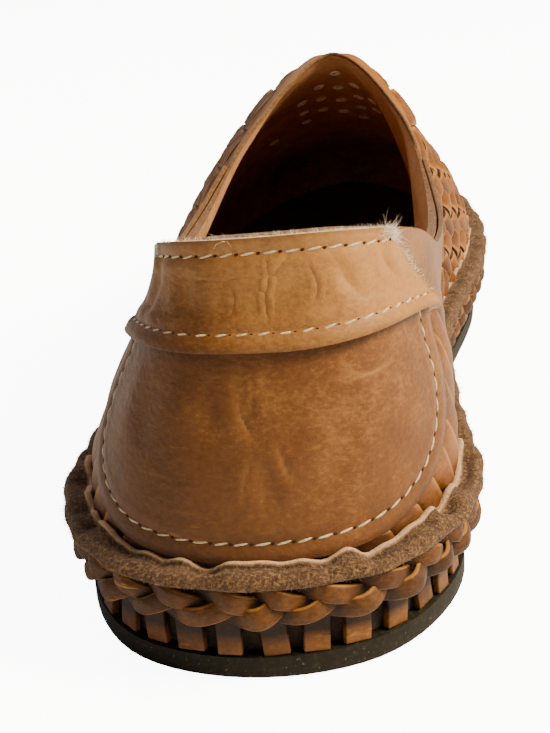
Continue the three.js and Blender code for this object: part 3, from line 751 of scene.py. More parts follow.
# collar band: a doubled strip over the counter's top, its lower edge standing over the counter's
band = {
    "low": 0.69, "medialLow": 0.745, "inner": 0.5, "overlap": 1.5, "overlapRun": 4.5, "thick": 1.5,
    "medialFrom": (0.2, 1.7), "lateralHigh": 1.42, "lateralLow": 1.86, "medialHigh": 1.35,
    "medialLowEnd": 1.93, "wallLength": 62,
    "columns": 340, "rows": 56, "seamRises": (0.046, 0.267), "seamEnds": (0.012, 0.988),
    "heightShade": (0.16, 0.26), "heightShadeFrom": (0.7, 0.95),
    "sideShade": 0.2, "hemShade": 0.0, "seamPull": (0.9, 0.3), "seamSteps": 120,
    "creases": [
        ([(0.72, 0.893), (0.43, 0.885), (0.23, 0.894), (0.07, 0.884), (-0.2, 0.89)], 0.34, 0.16, 0.9),
        ([(-0.05, 0.93), (-0.07, 0.885), (-0.04, 0.83), (-0.08, 0.77)], 0.34, 0.2, 0.0),
        ([(-0.09, 0.89), (-0.19, 0.92), (-0.27, 0.935)], 0.3, 0.14, 0.1),
        ([(0.02, 0.86), (-0.05, 0.825), (-0.06, 0.78)], 0.3, 0.14, 0.25),
        ([(0.34, 0.87), (0.28, 0.83), (0.30, 0.78)], 0.3, 0.1, 0.1),
        ([(-0.45, 0.92), (-0.53, 0.86), (-0.50, 0.81)], 0.4, 0.12, 0.1),
        ([(0.85, 0.93), (0.80, 0.84), (0.76, 0.78)], 1.8, 0.3, 0.15),
        ([(1.30, 0.96), (1.36, 0.86), (1.46, 0.78)], 1.6, 0.4, 0.3),
        ([(-0.70, 0.93), (-0.80, 0.86), (-0.92, 0.82)], 1.3, 0.26, 0.25),
        ([(-1.15, 0.95), (-1.28, 0.88), (-1.45, 0.83)], 1.0, 0.3, 0.5)]}


def counterSide(t):         # station of the counter's edge at a height share
    rise = np.clip((counter["shoulder"] - np.asarray(t, float)) / counter["depth"], 0, 1)
    side = np.clip(1 - rise**counter["roundness"], 0, 1)**(1 / counter["squareness"])
    return counter["station"] * side


def bandEnd(t, medial):     # station of the band's slanting end
    ends = np.where(medial, band["medialHigh"], band["lateralHigh"])
    lows = np.where(medial, band["medialLowEnd"], band["lateralLow"])
    return between(ends, lows, np.clip((1 - t) / (1 - band["low"]), 0, 1.1))


def bandLow(u):
    return between(band["low"], band["medialLow"], smooth(*band["medialFrom"], -u))


crease = {      # places and widths are shares of a crease's or seam's half width
    "samples": 14, "ends": (0.02, 0.98), "fade": 0.6, "gain": 1.35, "ridge": 0.5, "ridgeAt": 1.9,
    "paleAt": 0.35, "paleWide": 0.5, "seamRidge": 0.4, "seamRidgeAt": 2.2}


def hump(gap, halfWidth, at=0.0):
    return np.exp(-((gap - at) / halfWidth)**2)


def creaseField(places, creases):       # troughs with a soft ridge beside them, and their pale lines
    shift, pale = np.zeros(len(places)), np.zeros(len(places))
    for points, halfWidth, depth, paleness in creases:
        s = np.linspace(0, len(points) - 1, crease["samples"] * len(points))
        trail = skin(*openSpline(np.array(points, float).T, s), 0.0)
        gaps = np.linalg.norm(places[:, None, :] - trail[None], axis=2)
        near = gaps.argmin(1)
        gap = gaps[np.arange(len(places)), near]
        fade = np.sin(np.pi * np.clip(near / (len(s) - 1), *crease["ends"]))**crease["fade"]
        ridge = crease["ridge"] * hump(gap, halfWidth, crease["ridgeAt"] * halfWidth)
        shift += crease["gain"] * depth * fade * (ridge - hump(gap, halfWidth))
        # the pale line beside each crease is a painted highlight
        line = hump(gap, crease["paleWide"] * halfWidth, crease["paleAt"] * halfWidth)
        pale = np.maximum(pale, paleness * fade * line)
    return shift, pale


def seamField(places, trail, halfWidth, depth):     # leather drawn in along a row of stitches
    gap = np.full(len(places), 1e3)
    for part in np.array_split(trail, max(1, len(trail) // 40)):
        gap = np.minimum(gap, np.linalg.norm(places[:, None, :] - part[None], axis=2).min(1))
    ridge = crease["seamRidge"] * hump(gap, halfWidth, crease["seamRidgeAt"] * halfWidth)
    return depth * (ridge - hump(gap, halfWidth))


def counterLean(t):
    return 1 - counter["lean"] * smooth(counter["shoulder"] - counter["leanRun"], band["low"], t)


def counterSpot(a, b):
    angle = math.pi / 2 * (1 - 2 * a)
    station = counter["station"] * np.sin(np.abs(angle))
    share = np.clip(1 - (station / counter["station"])**counter["squareness"], 0, 1)
    low = counter["shoulder"] - counter["depth"] * share**(1 / counter["roundness"])
    u = np.sign(angle) * station
    t = between(low, bandLow(u) + counter["tuck"], b)
    return u * counterLean(t), t


def bandSpot(a, b):
    guess = between(band["low"], 1, b)
    u = bandEnd(guess, False) * (1 - a) - bandEnd(guess, True) * a
    return u, between(bandLow(u), 1, b)


def counterSeams(count):        # the counter's outline, drawn in by the seam's margin
    side = np.linspace(band["medialLow"], counter["shoulder"], 40)[:-1]
    u, t = counterSpot(np.linspace(0, 1, count), np.zeros(count))
    edge = counter["station"] * counterLean(side)
    u, t = np.concatenate([edge, u, -edge[::-1]]), np.concatenate([side, t, side[::-1]])
    x, y = u * counter["stationLength"], t * counter["wallLength"]
    dx, dy = np.gradient(x), np.gradient(y)
    run = np.hypot(dx, dy)
    u = (x + counter["seamIn"] * dy / run) / counter["stationLength"]
    t = (y - counter["seamIn"] * dx / run) / counter["wallLength"]
    seen = t < bandLow(u) - 0.004
    return [(u[seen], t[seen])]


def bandSeams(count):           # the lower and the upper row
    a = np.linspace(*band["seamEnds"], count)
    return [bandSpot(a, np.full(count, rise / (1 - band["low"]))) for rise in band["seamRises"]]


def panelHeight(sizes, seams, u, t):    # of the panel's inner face over the wall, and its pale lines
    flat = wall(u, t)
    shift, pale = creaseField(flat, sizes["creases"])
    if sizes["overlap"]:
        overEdge = (t - bandLow(u)) * sizes["wallLength"] / sizes["overlapRun"]
        shift += sizes["overlap"] * hump(np.clip(overEdge, 0, None), 1)
    for seam in seams(sizes["seamSteps"]):
        shift += seamField(flat, wall(*seam), *sizes["seamPull"])
    return sizes["inner"] + shift, pale


panel = {"worn": 0.6, "lengths": (60, 25), "rolled": (1.2, 0.0), "rolledDarkening": 0.35, "hem": (0.05, 0.008),
         "bevel": 0.3}


def panelSheet(name, slot, node, sizes, spot, seams):
    values = {}

    def place(a, b):
        u, t = spot(a, b)
        height, pale = panelHeight(sizes, seams, u, t)
        # the creases' pale lines go in as painted highlight
        values["worn"] = np.clip(pale * panel["worn"], 0, 1)
        edgeGaps = [np.minimum(x, 1 - x) * length for x, length in zip((a, b), panel["lengths"])]
        rolled = smooth(*panel["rolled"], np.minimum(*edgeGaps))
        # painted shadow under the band's hem; darker along the rolled edges
        underHem = sizes["hemShade"] * smooth(*panel["hem"], bandLow(u) - t)
        values["grime"] = np.maximum(panel["rolledDarkening"] * rolled, underHem)
        # painted shade and light: darker towards the foot and on the lateral side, lighter towards the top
        heightShade = between(*sizes["heightShade"], smooth(*sizes["heightShadeFrom"], t))
        values["tone"] = heightShade - sizes["sideShade"] * np.tanh(u)    # darker at the foot and on the lateral side
        return skin(u, t, height)
    piece = sheetOf(name, sizes["columns"], sizes["rows"], place)
    giveValues(piece, **values)
    complete(piece, slot, node, paint=["tanHide", "rawCut"], thick=sizes["thick"], bevel=panel["bevel"],
             angle=50)


panelSheet("heelCounter", "counter", "heel_counter", counter, counterSpot, counterSeams)
panelSheet("collarBand", "collar", "collar_band", band, bandSpot, bandSeams)


# stitches: one linen stitch, laid along each seam, and before it a dark ellipsoid, painted shade standing
# for its needle hole
sewing = {
    "pitch": 3.6, "long": 1.42, "wide": 0.225, "high": 0.22, "slant": 0.18, "slantSpread": 0.08,
    "dive": 0.16, "wobble": 0.12, "proud": 0.05, "hole": (0.3915, 0.2755, 0.116), "look": 0.4}
bpy.ops.mesh.primitive_uv_sphere_add(segments=10, ring_count=7, radius=1, location=(0, 0, 0))
stitch = named("stitch")
startEdit()
bpy.ops.transform.rotate(value=math.pi / 2, orient_axis="Y", center_override=(0, 0, 0))
bpy.ops.transform.resize(value=(sewing["long"], sewing["wide"], sewing["high"]))
endEdit()
stitchShape = readPlaces(stitch)
stitchShape[:, 2] -= sewing["dive"] * (stitchShape[:, 0] / sewing["long"])**2   # the ends dive in
bpy.ops.mesh.primitive_uv_sphere_add(segments=8, ring_count=5, radius=1, location=(0, 0, 0))
needleHole = named("needleHole")
holeShape = readPlaces(needleHole) * np.array(sewing["hole"])

seamRows = []       # u, share and outer height along each row
for sizes, seams, count in ((counter, counterSeams, 300), (band, bandSeams, 240)):
    for rowU, rowT in seams(count):
        seamRows.append((rowU, rowT, panelHeight(sizes, seams, rowU, rowT)[0] + sizes["thick"]))
stitchPlaces, holePlaces = [], []
for rowU, rowT, rowHeight in seamRows:
    steps = runAlong(skin(rowU, rowT, rowHeight))
    for mark in np.arange(sewing["pitch"] * 0.5, steps[-1], sewing["pitch"]):
        wobble = mark + jitter(sewing["wobble"])
        for target, shape, spot in ((stitchPlaces, stitchShape, wobble),
                                    (holePlaces, holeShape, mark + sewing["pitch"] / 2)):
            u, t, height = (np.interp([spot - sewing["look"], spot, spot + sewing["look"]], steps, v)
                            for v in (rowU, rowT, rowHeight))
            three = skin(u, t, height)
            forward = (three[2] - three[0]) / max(np.linalg.norm(three[2] - three[0]), 1e-6)
            up = wallNormal(u[1:2], t[1:2])[0]
            slant = sewing["slant"] + jitter(sewing["slantSpread"])
            lay = forward * math.cos(slant) + np.cross(up, forward) * math.sin(slant)
            axes = np.stack([lay, np.cross(up, lay), up])
            target.append(three[1] + up * sewing["proud"] + shape @ axes)
for name, master, places, paint in (("linenStitches", stitch, stitchPlaces, "linenThread"),
                                    ("needleHoles", needleHole, holePlaces, "needleHoleShade")):
    complete(joinedCopies(name, master, np.array(places)), "thong", paint=[paint])


# quarter: plain facings along the topline, fanned slats below them, tucked under their covers
facing = {
    "low": 0.715, "to": 4.5, "inner": -0.3, "rise": 0.3, "thick": 1.1, "tuck": 0.16, "sink": 0.9,
    "wave": 0.18, "under": (4.62, 4.3), "underRise": 0.35, "bare": (-0.06, 0.1), "columns": 90, "rows": 22,
    "bevel": 0.25, "worn": 0.12, "grime": 0.2, "tone": 0.06}


def facingSheet(name, medial):
    kept = {}

    def place(a, b):
        t = between(facing["low"], 1, b)
        end = bandEnd(t, medial)
        start = end - facing["tuck"]
        station = between(start, facing["to"], a if medial else 1 - a)
        bare = smooth(*facing["bare"], station - end)        # 0 under the band
        under = smooth(*facing["under"], station)
        wave = facing["wave"] * np.sin(station * 5.1 + 1.3 * medial) * np.sin(b * 3.0)
        kept["edge"] = smooth(0.1, 0.0, np.minimum(b, 1 - b))
        rise = facing["rise"] * between(facing["underRise"], 1, under)
        height = facing["inner"] - facing["sink"] * (1 - bare) + bare * (rise + wave)
        return skin(loop - station if medial else station, t, height)
    piece = sheetOf(name, facing["columns"], facing["rows"], place)
    giveValues(piece, worn=facing["worn"] * kept["edge"], grime=facing["grime"] * kept["edge"],
               tone=facing["tone"])
    complete(piece, "strips", paint=["tanHide", "edgeCut"], thick=facing["thick"],
             bevel=facing["bevel"], angle=50)


facingSheet("lateralFacing", False)
facingSheet("medialFacing", True)


slats = {
    "first": 0.72, "last": 5.35, "step": 0.205, "slant": 1.12, "wide": 7.3, "low": 0.045, "high": 0.77,
    "thick": 1.1, "tilt": 1.4, "swell": 0.35, "ripple": 0.22, "wander": 0.03, "base": -0.15,
    "ends": (0.35, 4.9), "stationLength": 34, "leans": (0.93, 1.07), "wides": (0.88, 1.06), "bow": 0.92,
    "tones": (-0.16, 0.2), "besideCounter": (-0.03, 0.09), "underFacing": (0.74, 0.69),
    "underVamp": (4.72, 4.5), "backWiden": 0.6, "backFrom": (2.9, 1.5),     # broader beside the counter
    "worn": [(0.5, (0.86, 1.0)), (0.25, (0.1, 0.0))],       # on each long edge: strength, from and to
    "grime": (0.7, (0.25, 0.0)), "hidden": 0.5, "footShade": (0.55, (0.24, 0.08))}


def slatCover(station, t):      # 1 where a slat lies open, 0 under counter, facing or vamp
    clear = smooth(*slats["besideCounter"], station - counterSide(t))
    return clear * smooth(*slats["underFacing"], t) * smooth(*slats["underVamp"], station)


slat, slatShares = gridOf("slat", 40, 6)
along = slatShares[:, 0]
slatPlaces = []
slatValues = {"tone": [], "worn": [], "grime": []}
for medial in (False, True):
    across = 1 - slatShares[:, 1] if medial else slatShares[:, 1]
    foot = slats["first"]
    while foot < slats["last"]:
        broad = 1 + slats["backWiden"] * smooth(*slats["backFrom"], foot)
        lean = slats["slant"] * dice.uniform(*slats["leans"])
        wide = broad * slats["wide"] * dice.uniform(*slats["wides"]) / slats["stationLength"]
        t = between(slats["low"], slats["high"], along)
        station = foot + jitter(slats["wander"]) - lean * along**slats["bow"]
        station += (across - 0.5) * wide
        bare = slatCover(station, t)
        tilt = slats["tilt"] * (0.1 + 0.9 * across)
        swell = slats["swell"] * np.sin(np.pi * across)
        swell += slats["ripple"] * np.sin(along * 9 + foot * 5)
        keep = np.clip(station, *slats["ends"])
        slatPlaces.append(skin(loop - keep if medial else keep, t,
                               slats["base"] + bare * (tilt + swell)))
        slatValues["tone"].append(np.full(len(along), dice.uniform(*slats["tones"])))
        slatValues["worn"].append(sum(size * smooth(*span, across) for size, span in slats["worn"]))
        # painted shade: darker where a slat lies under its covers, along its low edge under the next slat,
        # and at its foot by the rand
        dirt = ((slats["grime"], across), (slats["footShade"], along))
        slatValues["grime"].append(slats["hidden"] * (1 - bare)
                                   + sum(size * smooth(*span, x) for (size, span), x in dirt))
        foot += slats["step"] * broad
quarterSlats = joinedCopies("quarterSlats", slat, np.array(slatPlaces))
giveValues(quarterSlats, **{name: np.clip(np.concatenate(v), -1, 1) for name, v in slatValues.items()})
complete(quarterSlats, "strips", paint=["stripHide", "edgeCut"], thick=slats["thick"],
         inwards=True, angle=50)


# vamp edge: the thick raw cut where the vamp lies over the quarters, from sole to throat to sole
edging = {
    "sidePath": [(4.66, 0.08), (4.56, 0.30), (4.46, 0.55), (4.38, 0.78), (4.42, 0.93), (4.62, 0.995),
                 (5.1, 1.0), (5.6, 1.0), (6.0, 1.0)],       # station, share
    "wide": 3.6, "thick": 1.8, "base": -0.32, "samples": 240, "columns": 300, "rows": 4,
    "waves": [(0.25, 3.1, 0), (0.2, 5.3, 1)], "waveUp": 0.2, "waveIn": 0.3,     # mm, run mm, phase
    "ease": 12, "easeReach": 14, "look": 1.2, "bevel": 0.3,
    "pare": 0.55, "pareFrom": (86, 104), "sink": 0.45, "over": 0.3}     # it thins and folds over the rim
pathSteps = np.linspace(0, len(edging["sidePath"]) - 1, edging["samples"])
pathStation, pathT = openSpline(np.array(edging["sidePath"], float).T, pathSteps)
pathStation, pathT = np.minimum(pathStation, throat), np.minimum(pathT, 1.0)
trailU = np.concatenate([pathStation, loop - pathStation[-2::-1]])
trailT = np.concatenate([pathT, pathT[-2::-1]])
trailPlaces = wall(trailU, trailT)
trailNormals = wallNormal(trailU, np.clip(trailT, 0.02, 0.98))
easeFrom = len(trailU) // 2 - edging["easeReach"]
easeTo = len(trailU) // 2 + edging["easeReach"] + 1
for spread in range(edging["ease"]):     # the two sides' normals ease into each other over the throat
    before, after = trailNormals[easeFrom - 1:easeTo - 1], trailNormals[easeFrom + 1:easeTo + 1]
    trailNormals[easeFrom:easeTo] = (before + after) / 2
trailNormals = unit(trailNormals)
trailRun = runAlong(trailPlaces)


def edgePlace(a, b):
    s = a * trailRun[-1]
    at, ahead, behind = (rowsAt(s + step, trailRun, trailPlaces)
                         for step in (0, edging["look"], -edging["look"]))
    up = rowsAt(s, trailRun, trailNormals)
    toVamp = unit(np.cross(up, unit(ahead - behind)))
    wave = sum(size * np.sin(s / run + phase) for size, run, phase in edging["waves"])
    onRim = smooth(*edging["pareFrom"], at[:, 1])
    base = edging["base"] - edging["sink"] * onRim * (1 - b) + edging["waveUp"] * wave * b
    inwards = b * (edging["wide"] + edging["waveIn"] * wave) - edging["over"] * onRim
    return at + up * base[:, None] + toVamp * inwards[:, None]


vampEdge = sheetOf("vampEdge", edging["columns"], edging["rows"], edgePlace)
giveValues(vampEdge, tone=0.05, worn=0.25, grime=0.0)
edgeShares = 1 - edging["pare"] * smooth(*edging["pareFrom"], placesOnLast(vampEdge)[:, 1])
complete(vampEdge, "strips", paint=["stripHide", "edgeCut"], thick=edging["thick"], shares=edgeShares,
         bevel=edging["bevel"], angle=50)


# suede rand: a folded strip with a rolled, wavy lip
rand = {
    "out": 5.0, "z": 19, "columns": 560, "rows": 30, "lip": 6.7, "sideFlare": 0.7, "fold": 1.2,
    "foldOut": 0.4,
    "waves": [(61, 0.42, 0.3), (37, 0.46, 1.9), (83, 0.34, 4.1), (17, 0.4, 2.6)],   # count, mm, phase
    "buckles": [(53, 0.35, 0.7), (29, 0.3, 2.2)],
    "stronger": [(1.2, (0.02, 0.06), (0.24, 0.14)), (0.8, (0.76, 0.84), (0.99, 0.93))],     # on the sides
    "highest": 1.5,
    "tread": [      # points beside the feather line: out, of flare, of buckle, z, of wave
        (3.2, 0, 0, 18.6, 0), (5.6, 1, 0.5, 18.8, 0), (6.2, 1, 0.6, 19.9, 0.2), (5.0, 0.6, 0.5, 21.4, 0.4)],
    "turned": [     # points at the lip: off the wall, of buckle, of wave, up, of wave
        (2.8, 0.3, 0, 0.5, 0.9), (2.2, 0, 0.4, 1.35, 1), (1.2, 0, 0.3, 1.2, 1), (0.8, 0, 0, 0.2, 0.6)],
    "lipAt": 6.4, "lipRun": (0.95, 0.35)}       # the pale cut edge, counted in points of the section
randLength, randU = ringByLength(rand["out"], rand["z"])[:2]
randCount = 1 + len(rand["tread"]) + len(rand["turned"])


def randPlace(a, b):
    u = randU(a * randLength)
    turn = 2 * np.pi * a
    wave, buckle = (sum(size * np.sin(count * turn + phase) for count, size, phase in rand[key])
                    for key in ("waves", "buckles"))
    for size, start, end in rand["stronger"]:
        wave *= 1 + size * smooth(*start, a) * smooth(*end, a)
    wave = np.minimum(wave, rand["highest"])
    flare = rand["sideFlare"] * np.abs(feather(u)[2])
    columns, columnOf = np.unique(np.round(u, 9), return_inverse=True)
    heights = ribHeights(columns)
    low, top = (sharesAt(np.full(len(columns), rand[key]), heights)[columnOf] for key in ("fold", "lip"))
    section = [skin(u, low, rand["foldOut"])]
    for out, ofFlare, ofBuckle, z, ofWave in rand["tread"]:
        section.append(besideFeather(u, out + ofFlare * flare + ofBuckle * buckle, z + ofWave * wave))
    for off, ofBuckle, ofWave, rise, riseWave in rand["turned"]:
        section.append(skin(u, top, off + ofBuckle * buckle + ofWave * wave)
                       + upright * (rise + riseWave * wave)[:, None])
    section = np.stack(section, -1)
    turns = b * randCount
    i = np.floor(turns).astype(int)
    corners = [section[np.arange(len(u)), :, (i + k) % randCount] for k in (-1, 0, 1, 2)]
    return blend(*corners, (turns - i)[:, None])


suedeRand, randShares = gridOf("suedeRand", rand["columns"], rand["rows"])
writePlaces(suedeRand, randPlace(*randShares.T))
lipGap = np.abs(randShares[:, 1] * randCount - rand["lipAt"])
giveValues(suedeRand, lip=smooth(*rand["lipRun"], lipGap))
closeSeams(suedeRand)
complete(suedeRand, "suede", "suede_rand", paint=["suedeNap"])


# braid: three flat strips plaited round the edge, each passing over and under the others
braid = {
    "periods": 22, "out": 4.5, "z": 15.2, "swing": 2.15, "depth": 1.4, "half": 1.82, "thick": 1.25,
    "cup": 0.09, "columns": 832, "rows": 16, "flatness": (0.4, 0.45), "ripple": 0.12,
    "pulls": [(0.1, 23), (0.07, 41)], "slips": [(0.16, 17), (0.1, 31)],     # size, count round the shoe
    "worn": 0.95, "wornEdge": (0.84, 1.0), "wornFace": (-0.5, 0.3), "grime": 0.75, "under": (0.45, -0.5),
    "tones": (-0.06, 0.08, 0.0)}
braidLength, braidU = ringByLength(braid["out"], braid["z"])[:2]
braidRun = braidLength / (2 * np.pi * braid["periods"])        # mm for each radian of the plait


def rounded(x, power):
    return np.sign(x) * np.abs(x)**power


for strand, tone in enumerate(braid["tones"]):
    values = {"tone": tone}

    def strandPlace(a, b):
        circuit, turn = 2 * np.pi * a, 2 * np.pi * b
        (pull1, count1), (pull2, count2) = braid["pulls"]
        pull = 1 + pull1 * np.sin(count1 * circuit + strand) + pull2 * np.sin(count2 * circuit + 2)
        (slip1, count1), (slip2, count2) = braid["slips"]
        phase = braid["periods"] * circuit + 2 * np.pi * strand / 3
        phase += slip1 * np.sin(count1 * circuit + 1) + slip2 * np.sin(count2 * circuit + strand)
        slope = np.arctan2(braid["swing"] * np.cos(phase), braidRun)
        flat, turned = np.cos(turn), np.sin(turn)
        across = braid["half"] * pull * rounded(flat, braid["flatness"][0])
        proud = braid["thick"] / 2 * rounded(turned, braid["flatness"][1])
        z = braid["z"] + braid["swing"] * np.sin(phase) + np.cos(slope) * across
        out = (braid["out"] + braid["depth"] * pull * np.sin(2 * phase) + proud
               - braid["cup"] * across**2 + braid["ripple"] * np.sin(5 * phase / 3 + strand))
        # paler edges on the outward face stand for wear and painted highlight; darker where the strand
        # passes under the others, painted shade
        onFace = smooth(*braid["wornFace"], turned)
        values["worn"] = braid["worn"] * smooth(*braid["wornEdge"], np.abs(flat)) * onFace
        values["grime"] = braid["grime"] * smooth(*braid["under"], np.sin(2 * phase))
        return besideFeather(braidU(a * braidLength - np.sin(slope) * across), out, z)
    strip = sheetOf("braidStrip%d" % (strand + 1), braid["columns"], braid["rows"], strandPlace)
    giveValues(strip, **values)
    closeSeams(strip)
    nodes = ["braided_lacing"] if strand == 0 else []
    complete(strip, "thong", *nodes, paint=["plaitHide"])


# lacing tabs: short square ends of the thong that show under the braid
tabs = {
    "pitch": 7.6, "wide": 4.7, "thick": 1.5, "low": 4.15, "high": 12.2, "out": 1.5, "z": 8, "edge": 0.26,
    "wander": 0.09, "outs": (-0.2, 0.25), "lean": 0.11, "sways": (0.02, 0.15), "wides": (0.86, 1.12),
    "thicks": (0.85, 1.15), "rises": (0.0, 0.5), "wave": 0.12, "tones": (-0.2, 0.16),
    "grime": 0.92, "grimeFrom": (-2.3, -0.1)}
tabLength, tabU = ringByLength(tabs["out"], tabs["z"])[:2]
tabCount = round(tabLength / tabs["pitch"])
bpy.ops.mesh.primitive_cube_add(size=1, location=(0, 0, 0))
tab = named("tab")
startEdit()
bpy.ops.transform.resize(value=(tabs["wide"], tabs["thick"], tabs["high"] - tabs["low"]))
bpy.ops.mesh.bevel(offset=tabs["edge"], segments=2, affect="EDGES")
bpy.ops.mesh.subdivide(number_cuts=3)
endEdit()
tabShape = readPlaces(tab)
tabPlaces, tabTone, tabShade = [], [], []
for k in range(tabCount):
    spot = (k + 0.5 + jitter(tabs["wander"])) * tabLength / tabCount
    u = tabU(np.array([spot]))
    middle = besideFeather(u, tabs["out"] + dice.uniform(*tabs["outs"]),
                           (tabs["low"] + tabs["high"]) / 2)[0]
    out = np.array([*np.ravel(feather(u)[2:]), 0])
    lean = jitter(tabs["lean"])
    sway = dice.uniform(*tabs["sways"])
    side = np.cross(upright, out)
    stand = upright * math.cos(lean) + side * math.sin(lean) - out * sway
    beside = side * math.cos(lean) - upright * math.sin(lean)
    shape = tabShape * np.array([dice.uniform(*tabs["wides"]), dice.uniform(*tabs["thicks"]), 1.0])
    shape[:, 2] += dice.uniform(*tabs["rises"])
    shape[:, 1] += tabs["wave"] * np.sin(shape[:, 2] * 0.8 + k)
    tabPlaces.append(middle + shape @ np.stack([beside, out, stand]))
    tabTone.append(np.full(len(shape), dice.uniform(*tabs["tones"])))
    # painted shade: each tab darkens towards its top, under the braid
    tabShade.append(tabs["grime"] * smooth(*tabs["grimeFrom"], shape[:, 2]))
lacingTabs = joinedCopies("lacingTabs", tab, np.array(tabPlaces))
giveValues(lacingTabs, tone=np.concatenate(tabTone), worn=0.0, grime=np.concatenate(tabShade))
complete(lacingTabs, "thong", paint=["tabHide"], angle=45)


# loose fibre: short nap on the suede, raw fluff on the collar's cut edge and frayed band ends
fibre = {
    "napCount": 9000, "napLong": (0.35, 0.9), "napThin": 0.045, "napCurl": 0.3, "napFrom": (1.8, 6.0),
    "napUp": 0.35, "napSpread": 0.55, "napLip": 0.25,
    "rimCount": 420, "rimLong": (0.25, 0.9), "rimThin": 0.032, "rimCurl": 0.8, "rimWay": (0, 0.1, 1.0),
    "rimSpread": 0.5, "frayOut": 0.35, "frayWay": (-0.5, 0.2, 0.35), "fraySpread": 0.6, "frayDrift": 0.02,
    "frayHeights": (0.7, 1.03), "fewLong": 1.8, "taper": 0.75, "bends": (0.2, 1.0),
    "frays": [      # from (u, share) to (u, share), spread share, count, shortest, longest mm
        ((-1.20, 0.99), (-1.42, 0.975), 0.02, 380, 0.4, 2.2),
        ((-1.20, 0.99), (-1.42, 0.97), 0.01, 26, 1.8, 4.8),
        ((-1.40, 0.98), (-1.86, 0.77), 0.02, 260, 0.4, 1.8),
        ((-1.72, 0.775), (-1.92, 0.755), 0.025, 150, 0.5, 2.4),
        ((1.70, 0.725), (1.86, 0.70), 0.02, 110, 0.5, 2.2),
        ((1.36, 0.99), (1.45, 0.97), 0.02, 60, 0.4, 1.6),
        ((0.36, 0.998), (0.46, 0.996), 0.003, 7, 1.5, 3.5)]}


def fibresOf(name, roots, ways, lengths, thin, curl):
    hair, shares = gridOf(name + "Hair", 3, 3)
    ways = unit(ways)
    side = unit(np.cross(ways, dice.normal(size=ways.shape)))
    front = np.cross(ways, side)
    angle = 2 * np.pi * shares[:, 0]
    taper = thin * (1 - fibre["taper"] * shares[:, 1])
    bend = shares[:, 1]**2 * dice.uniform(*fibre["bends"], len(ways))[:, None] * curl
    return joinedCopies(name, hair, (
        roots[:, None] + ways[:, None] * (lengths[:, None] * shares[:, 1])[..., None]
        + side[:, None] * ((np.cos(angle) * taper) + bend * lengths[:, None])[..., None]
        + front[:, None] * (np.sin(angle) * taper)[None, :, None]))


napA = dice.uniform(0, 1, fibre["napCount"])
napRoots = randPlace(napA, dice.uniform(*fibre["napFrom"], len(napA)) / randCount)
napOutward = feather(randU(napA * randLength))[2:]
napWays = np.stack([*napOutward, np.full(len(napA), fibre["napUp"])], -1)
napWays += dice.normal(0, fibre["napSpread"], napWays.shape)
suedeFibres = fibresOf("suedeFibres", napRoots, napWays, dice.uniform(*fibre["napLong"], len(napA)),
                       fibre["napThin"], fibre["napCurl"])
giveValues(suedeFibres, lip=fibre["napLip"])
complete(suedeFibres, "suede", paint=["suedeNap"])

rimA = dice.uniform(0.01, 0.99, fibre["rimCount"])
rimHeight = band["inner"] + dice.uniform(0.1, band["thick"], len(rimA))
frayRoots = [skin(*bandSpot(rimA, np.ones(len(rimA))), rimHeight)]
frayWays = [np.array(fibre["rimWay"]) + dice.normal(0, fibre["rimSpread"], (len(rimA), 3))]
frayLongs = [dice.uniform(*fibre["rimLong"], len(rimA))]
for start, end, spread, count, shortest, longest in fibre["frays"]:
    share = dice.uniform(0, 1, count)
    u = between(start[0], end[0], share) + dice.normal(0, fibre["frayDrift"], count)
    t = np.clip(between(start[1], end[1], share) + dice.normal(0, spread / 2, count), 0.5, 1.0)
    height = band["inner"] + band["thick"] * dice.uniform(*fibre["frayHeights"], count)
    frayRoots.append(skin(u, t, height))
    way = np.array(fibre["frayWay"]) * np.array([np.sign(start[0]), 1, 1])
    frayWays.append(fibre["frayOut"] * wallNormal(u, np.clip(t, 0, 0.99)) + way
                    + dice.normal(0, fibre["fraySpread"], (count, 3)))
    frayLongs.append(between(shortest, longest, dice.uniform(0, 1, count)**fibre["fewLong"]))
frayedFluff = fibresOf("frayedFluff", *(np.concatenate(v) for v in (frayRoots, frayWays, frayLongs)),
                       fibre["rimThin"], fibre["rimCurl"])
complete(frayedFluff, "collar", paint=["fluffFibre"])


# floor, light and camera
stage = {"floor": 60.0, "floorTone": (252, 252, 252), "world": 0.2, "backdrop": 10.0, "floorGlow": 9.6}
white = (1, 1, 1, 1)
bpy.ops.object.select_all(action="DESELECT")
bpy.ops.mesh.primitive_plane_add(size=stage["floor"], location=(0, 0, 0))
floor = named("paleFloor")
paints["floorPaint"], floorTree, floorShader = startMaterial("floorPaint", {
    "Base Color": rgb(*stage["floorTone"]), "Roughness": 0.9, "Emission Color": white})
seen = addNode(floorTree, "ShaderNodeLightPath").outputs["Is Camera Ray"]
glow = sums(floorTree, "MULTIPLY", seen, stage["floorGlow"])
wire(floorTree, floorShader, {"Emission Strength": glow})       # white, yet no light on the shoe from below
dress(floor, "floorPaint")

world = bpy.data.worlds.new("studio")
bpy.context.scene.world = world
world.use_nodes = True
skyTree = world.node_tree
sky = skyTree.nodes["Background"]
wire(skyTree, sky, {"Strength": stage["world"], "Color": white})
backdrop = addNode(skyTree, "ShaderNodeBackground", {"Strength": stage["backdrop"], "Color": white})
seen = addNode(skyTree, "ShaderNodeLightPath").outputs["Is Camera Ray"]     # a white wall far behind
both = addNode(skyTree, "ShaderNodeMixShader", {0: seen, 1: sky.outputs[0], 2: backdrop.outputs[0]})
wire(skyTree, skyTree.nodes["World Output"], {"Surface": both.outputs[0]})

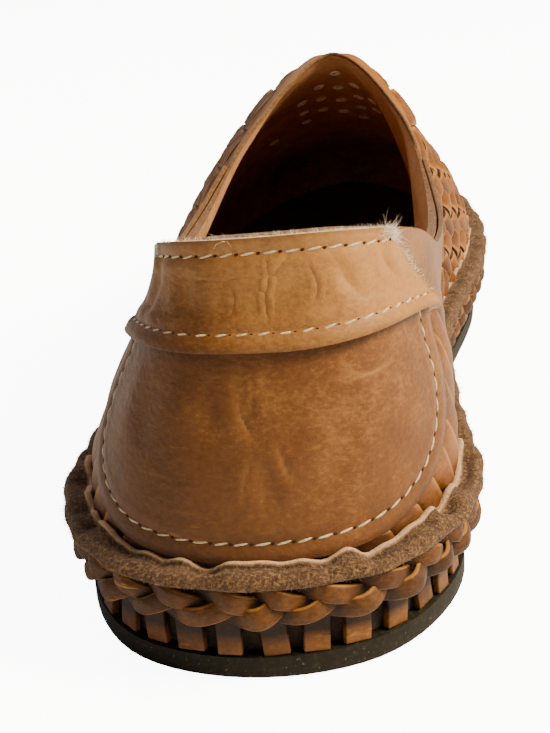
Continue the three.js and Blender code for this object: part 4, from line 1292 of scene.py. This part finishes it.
lamps = [       # name, place m, aimed at m, width m, height m, watts, colour
    ("windowLight", (0.9, -0.22, 0.85), (0.02, -0.08, 0.04), 0.5, 0.5, 55, (1.0, 0.9, 0.7)),
    ("coolSide", (-0.95, -0.25, 0.35), (0, -0.05, 0.04), 0.4, 0.8, 0.7, (0.95, 0.98, 1.0)),
    ("topLight", (-0.55, 0.75, 0.95), (0, 0, 0.03), 0.9, 0.8, 9, (1.0, 0.97, 0.92))]
for name, place, aim, width, height, watts, colour in lamps:
    light = bpy.data.lights.new(name, "AREA")
    light.shape = "RECTANGLE"
    light.size, light.size_y, light.energy, light.color = width, height, watts, colour
    lamp = bpy.data.objects.new(name, light)
    lamp.location = place
    lamp.rotation_euler = (Vector(aim) - Vector(place)).to_track_quat("-Z", "Y").to_euler()
    bpy.context.collection.objects.link(lamp)

photo = {     # the photograph's camera in the last's frame, mm and degrees
    "place": (34.5, -206.6, 136.65), "yaw": 4.91, "pitch": 25.85, "roll": -1.03, "focal": 700,
    "frame": (550, 733), "middle": (275, 366), "shoeMiddle": (132, 306), "enlarge": 2.0, "film": 36.0,
    "nearest": 0.01}
yaw, pitch, roll = (math.radians(photo[k]) for k in ("yaw", "pitch", "roll"))
ahead = Vector((math.sin(yaw) * math.cos(pitch), math.cos(yaw) * math.cos(pitch), -math.sin(pitch)))
level = Vector((math.cos(yaw), -math.sin(yaw), 0))
under = ahead.cross(level)
right = level * math.cos(roll) + under * math.sin(roll)
down = under * math.cos(roll) - level * math.sin(roll)
offX, offY = (photo["shoeMiddle"][k] - photo["middle"][k] for k in (0, 1))
aimed = (ahead * photo["focal"] + right * offX + down * offY).normalized()
above = (-down + aimed * down.dot(aimed)).normalized()
beside = aimed.cross(above)
cameraData = bpy.data.cameras.new("photoCamera")
cameraData.sensor_width = photo["film"]
cameraData.lens = photo["focal"] * photo["enlarge"] * photo["film"] / max(photo["frame"])
cameraData.clip_start = photo["nearest"]
camera = bpy.data.objects.new("photoCamera", cameraData)
bpy.context.collection.objects.link(camera)
place = (np.array(photo["place"]) + toRow) * mm
axes = Matrix((beside, above, -aimed)).transposed().to_4x4()
camera.matrix_world = Matrix.Translation(Vector(place)) @ axes
bpy.context.scene.camera = camera
print("camera at", [round(v, 3) for v in place], "lens", round(cameraData.lens, 1))
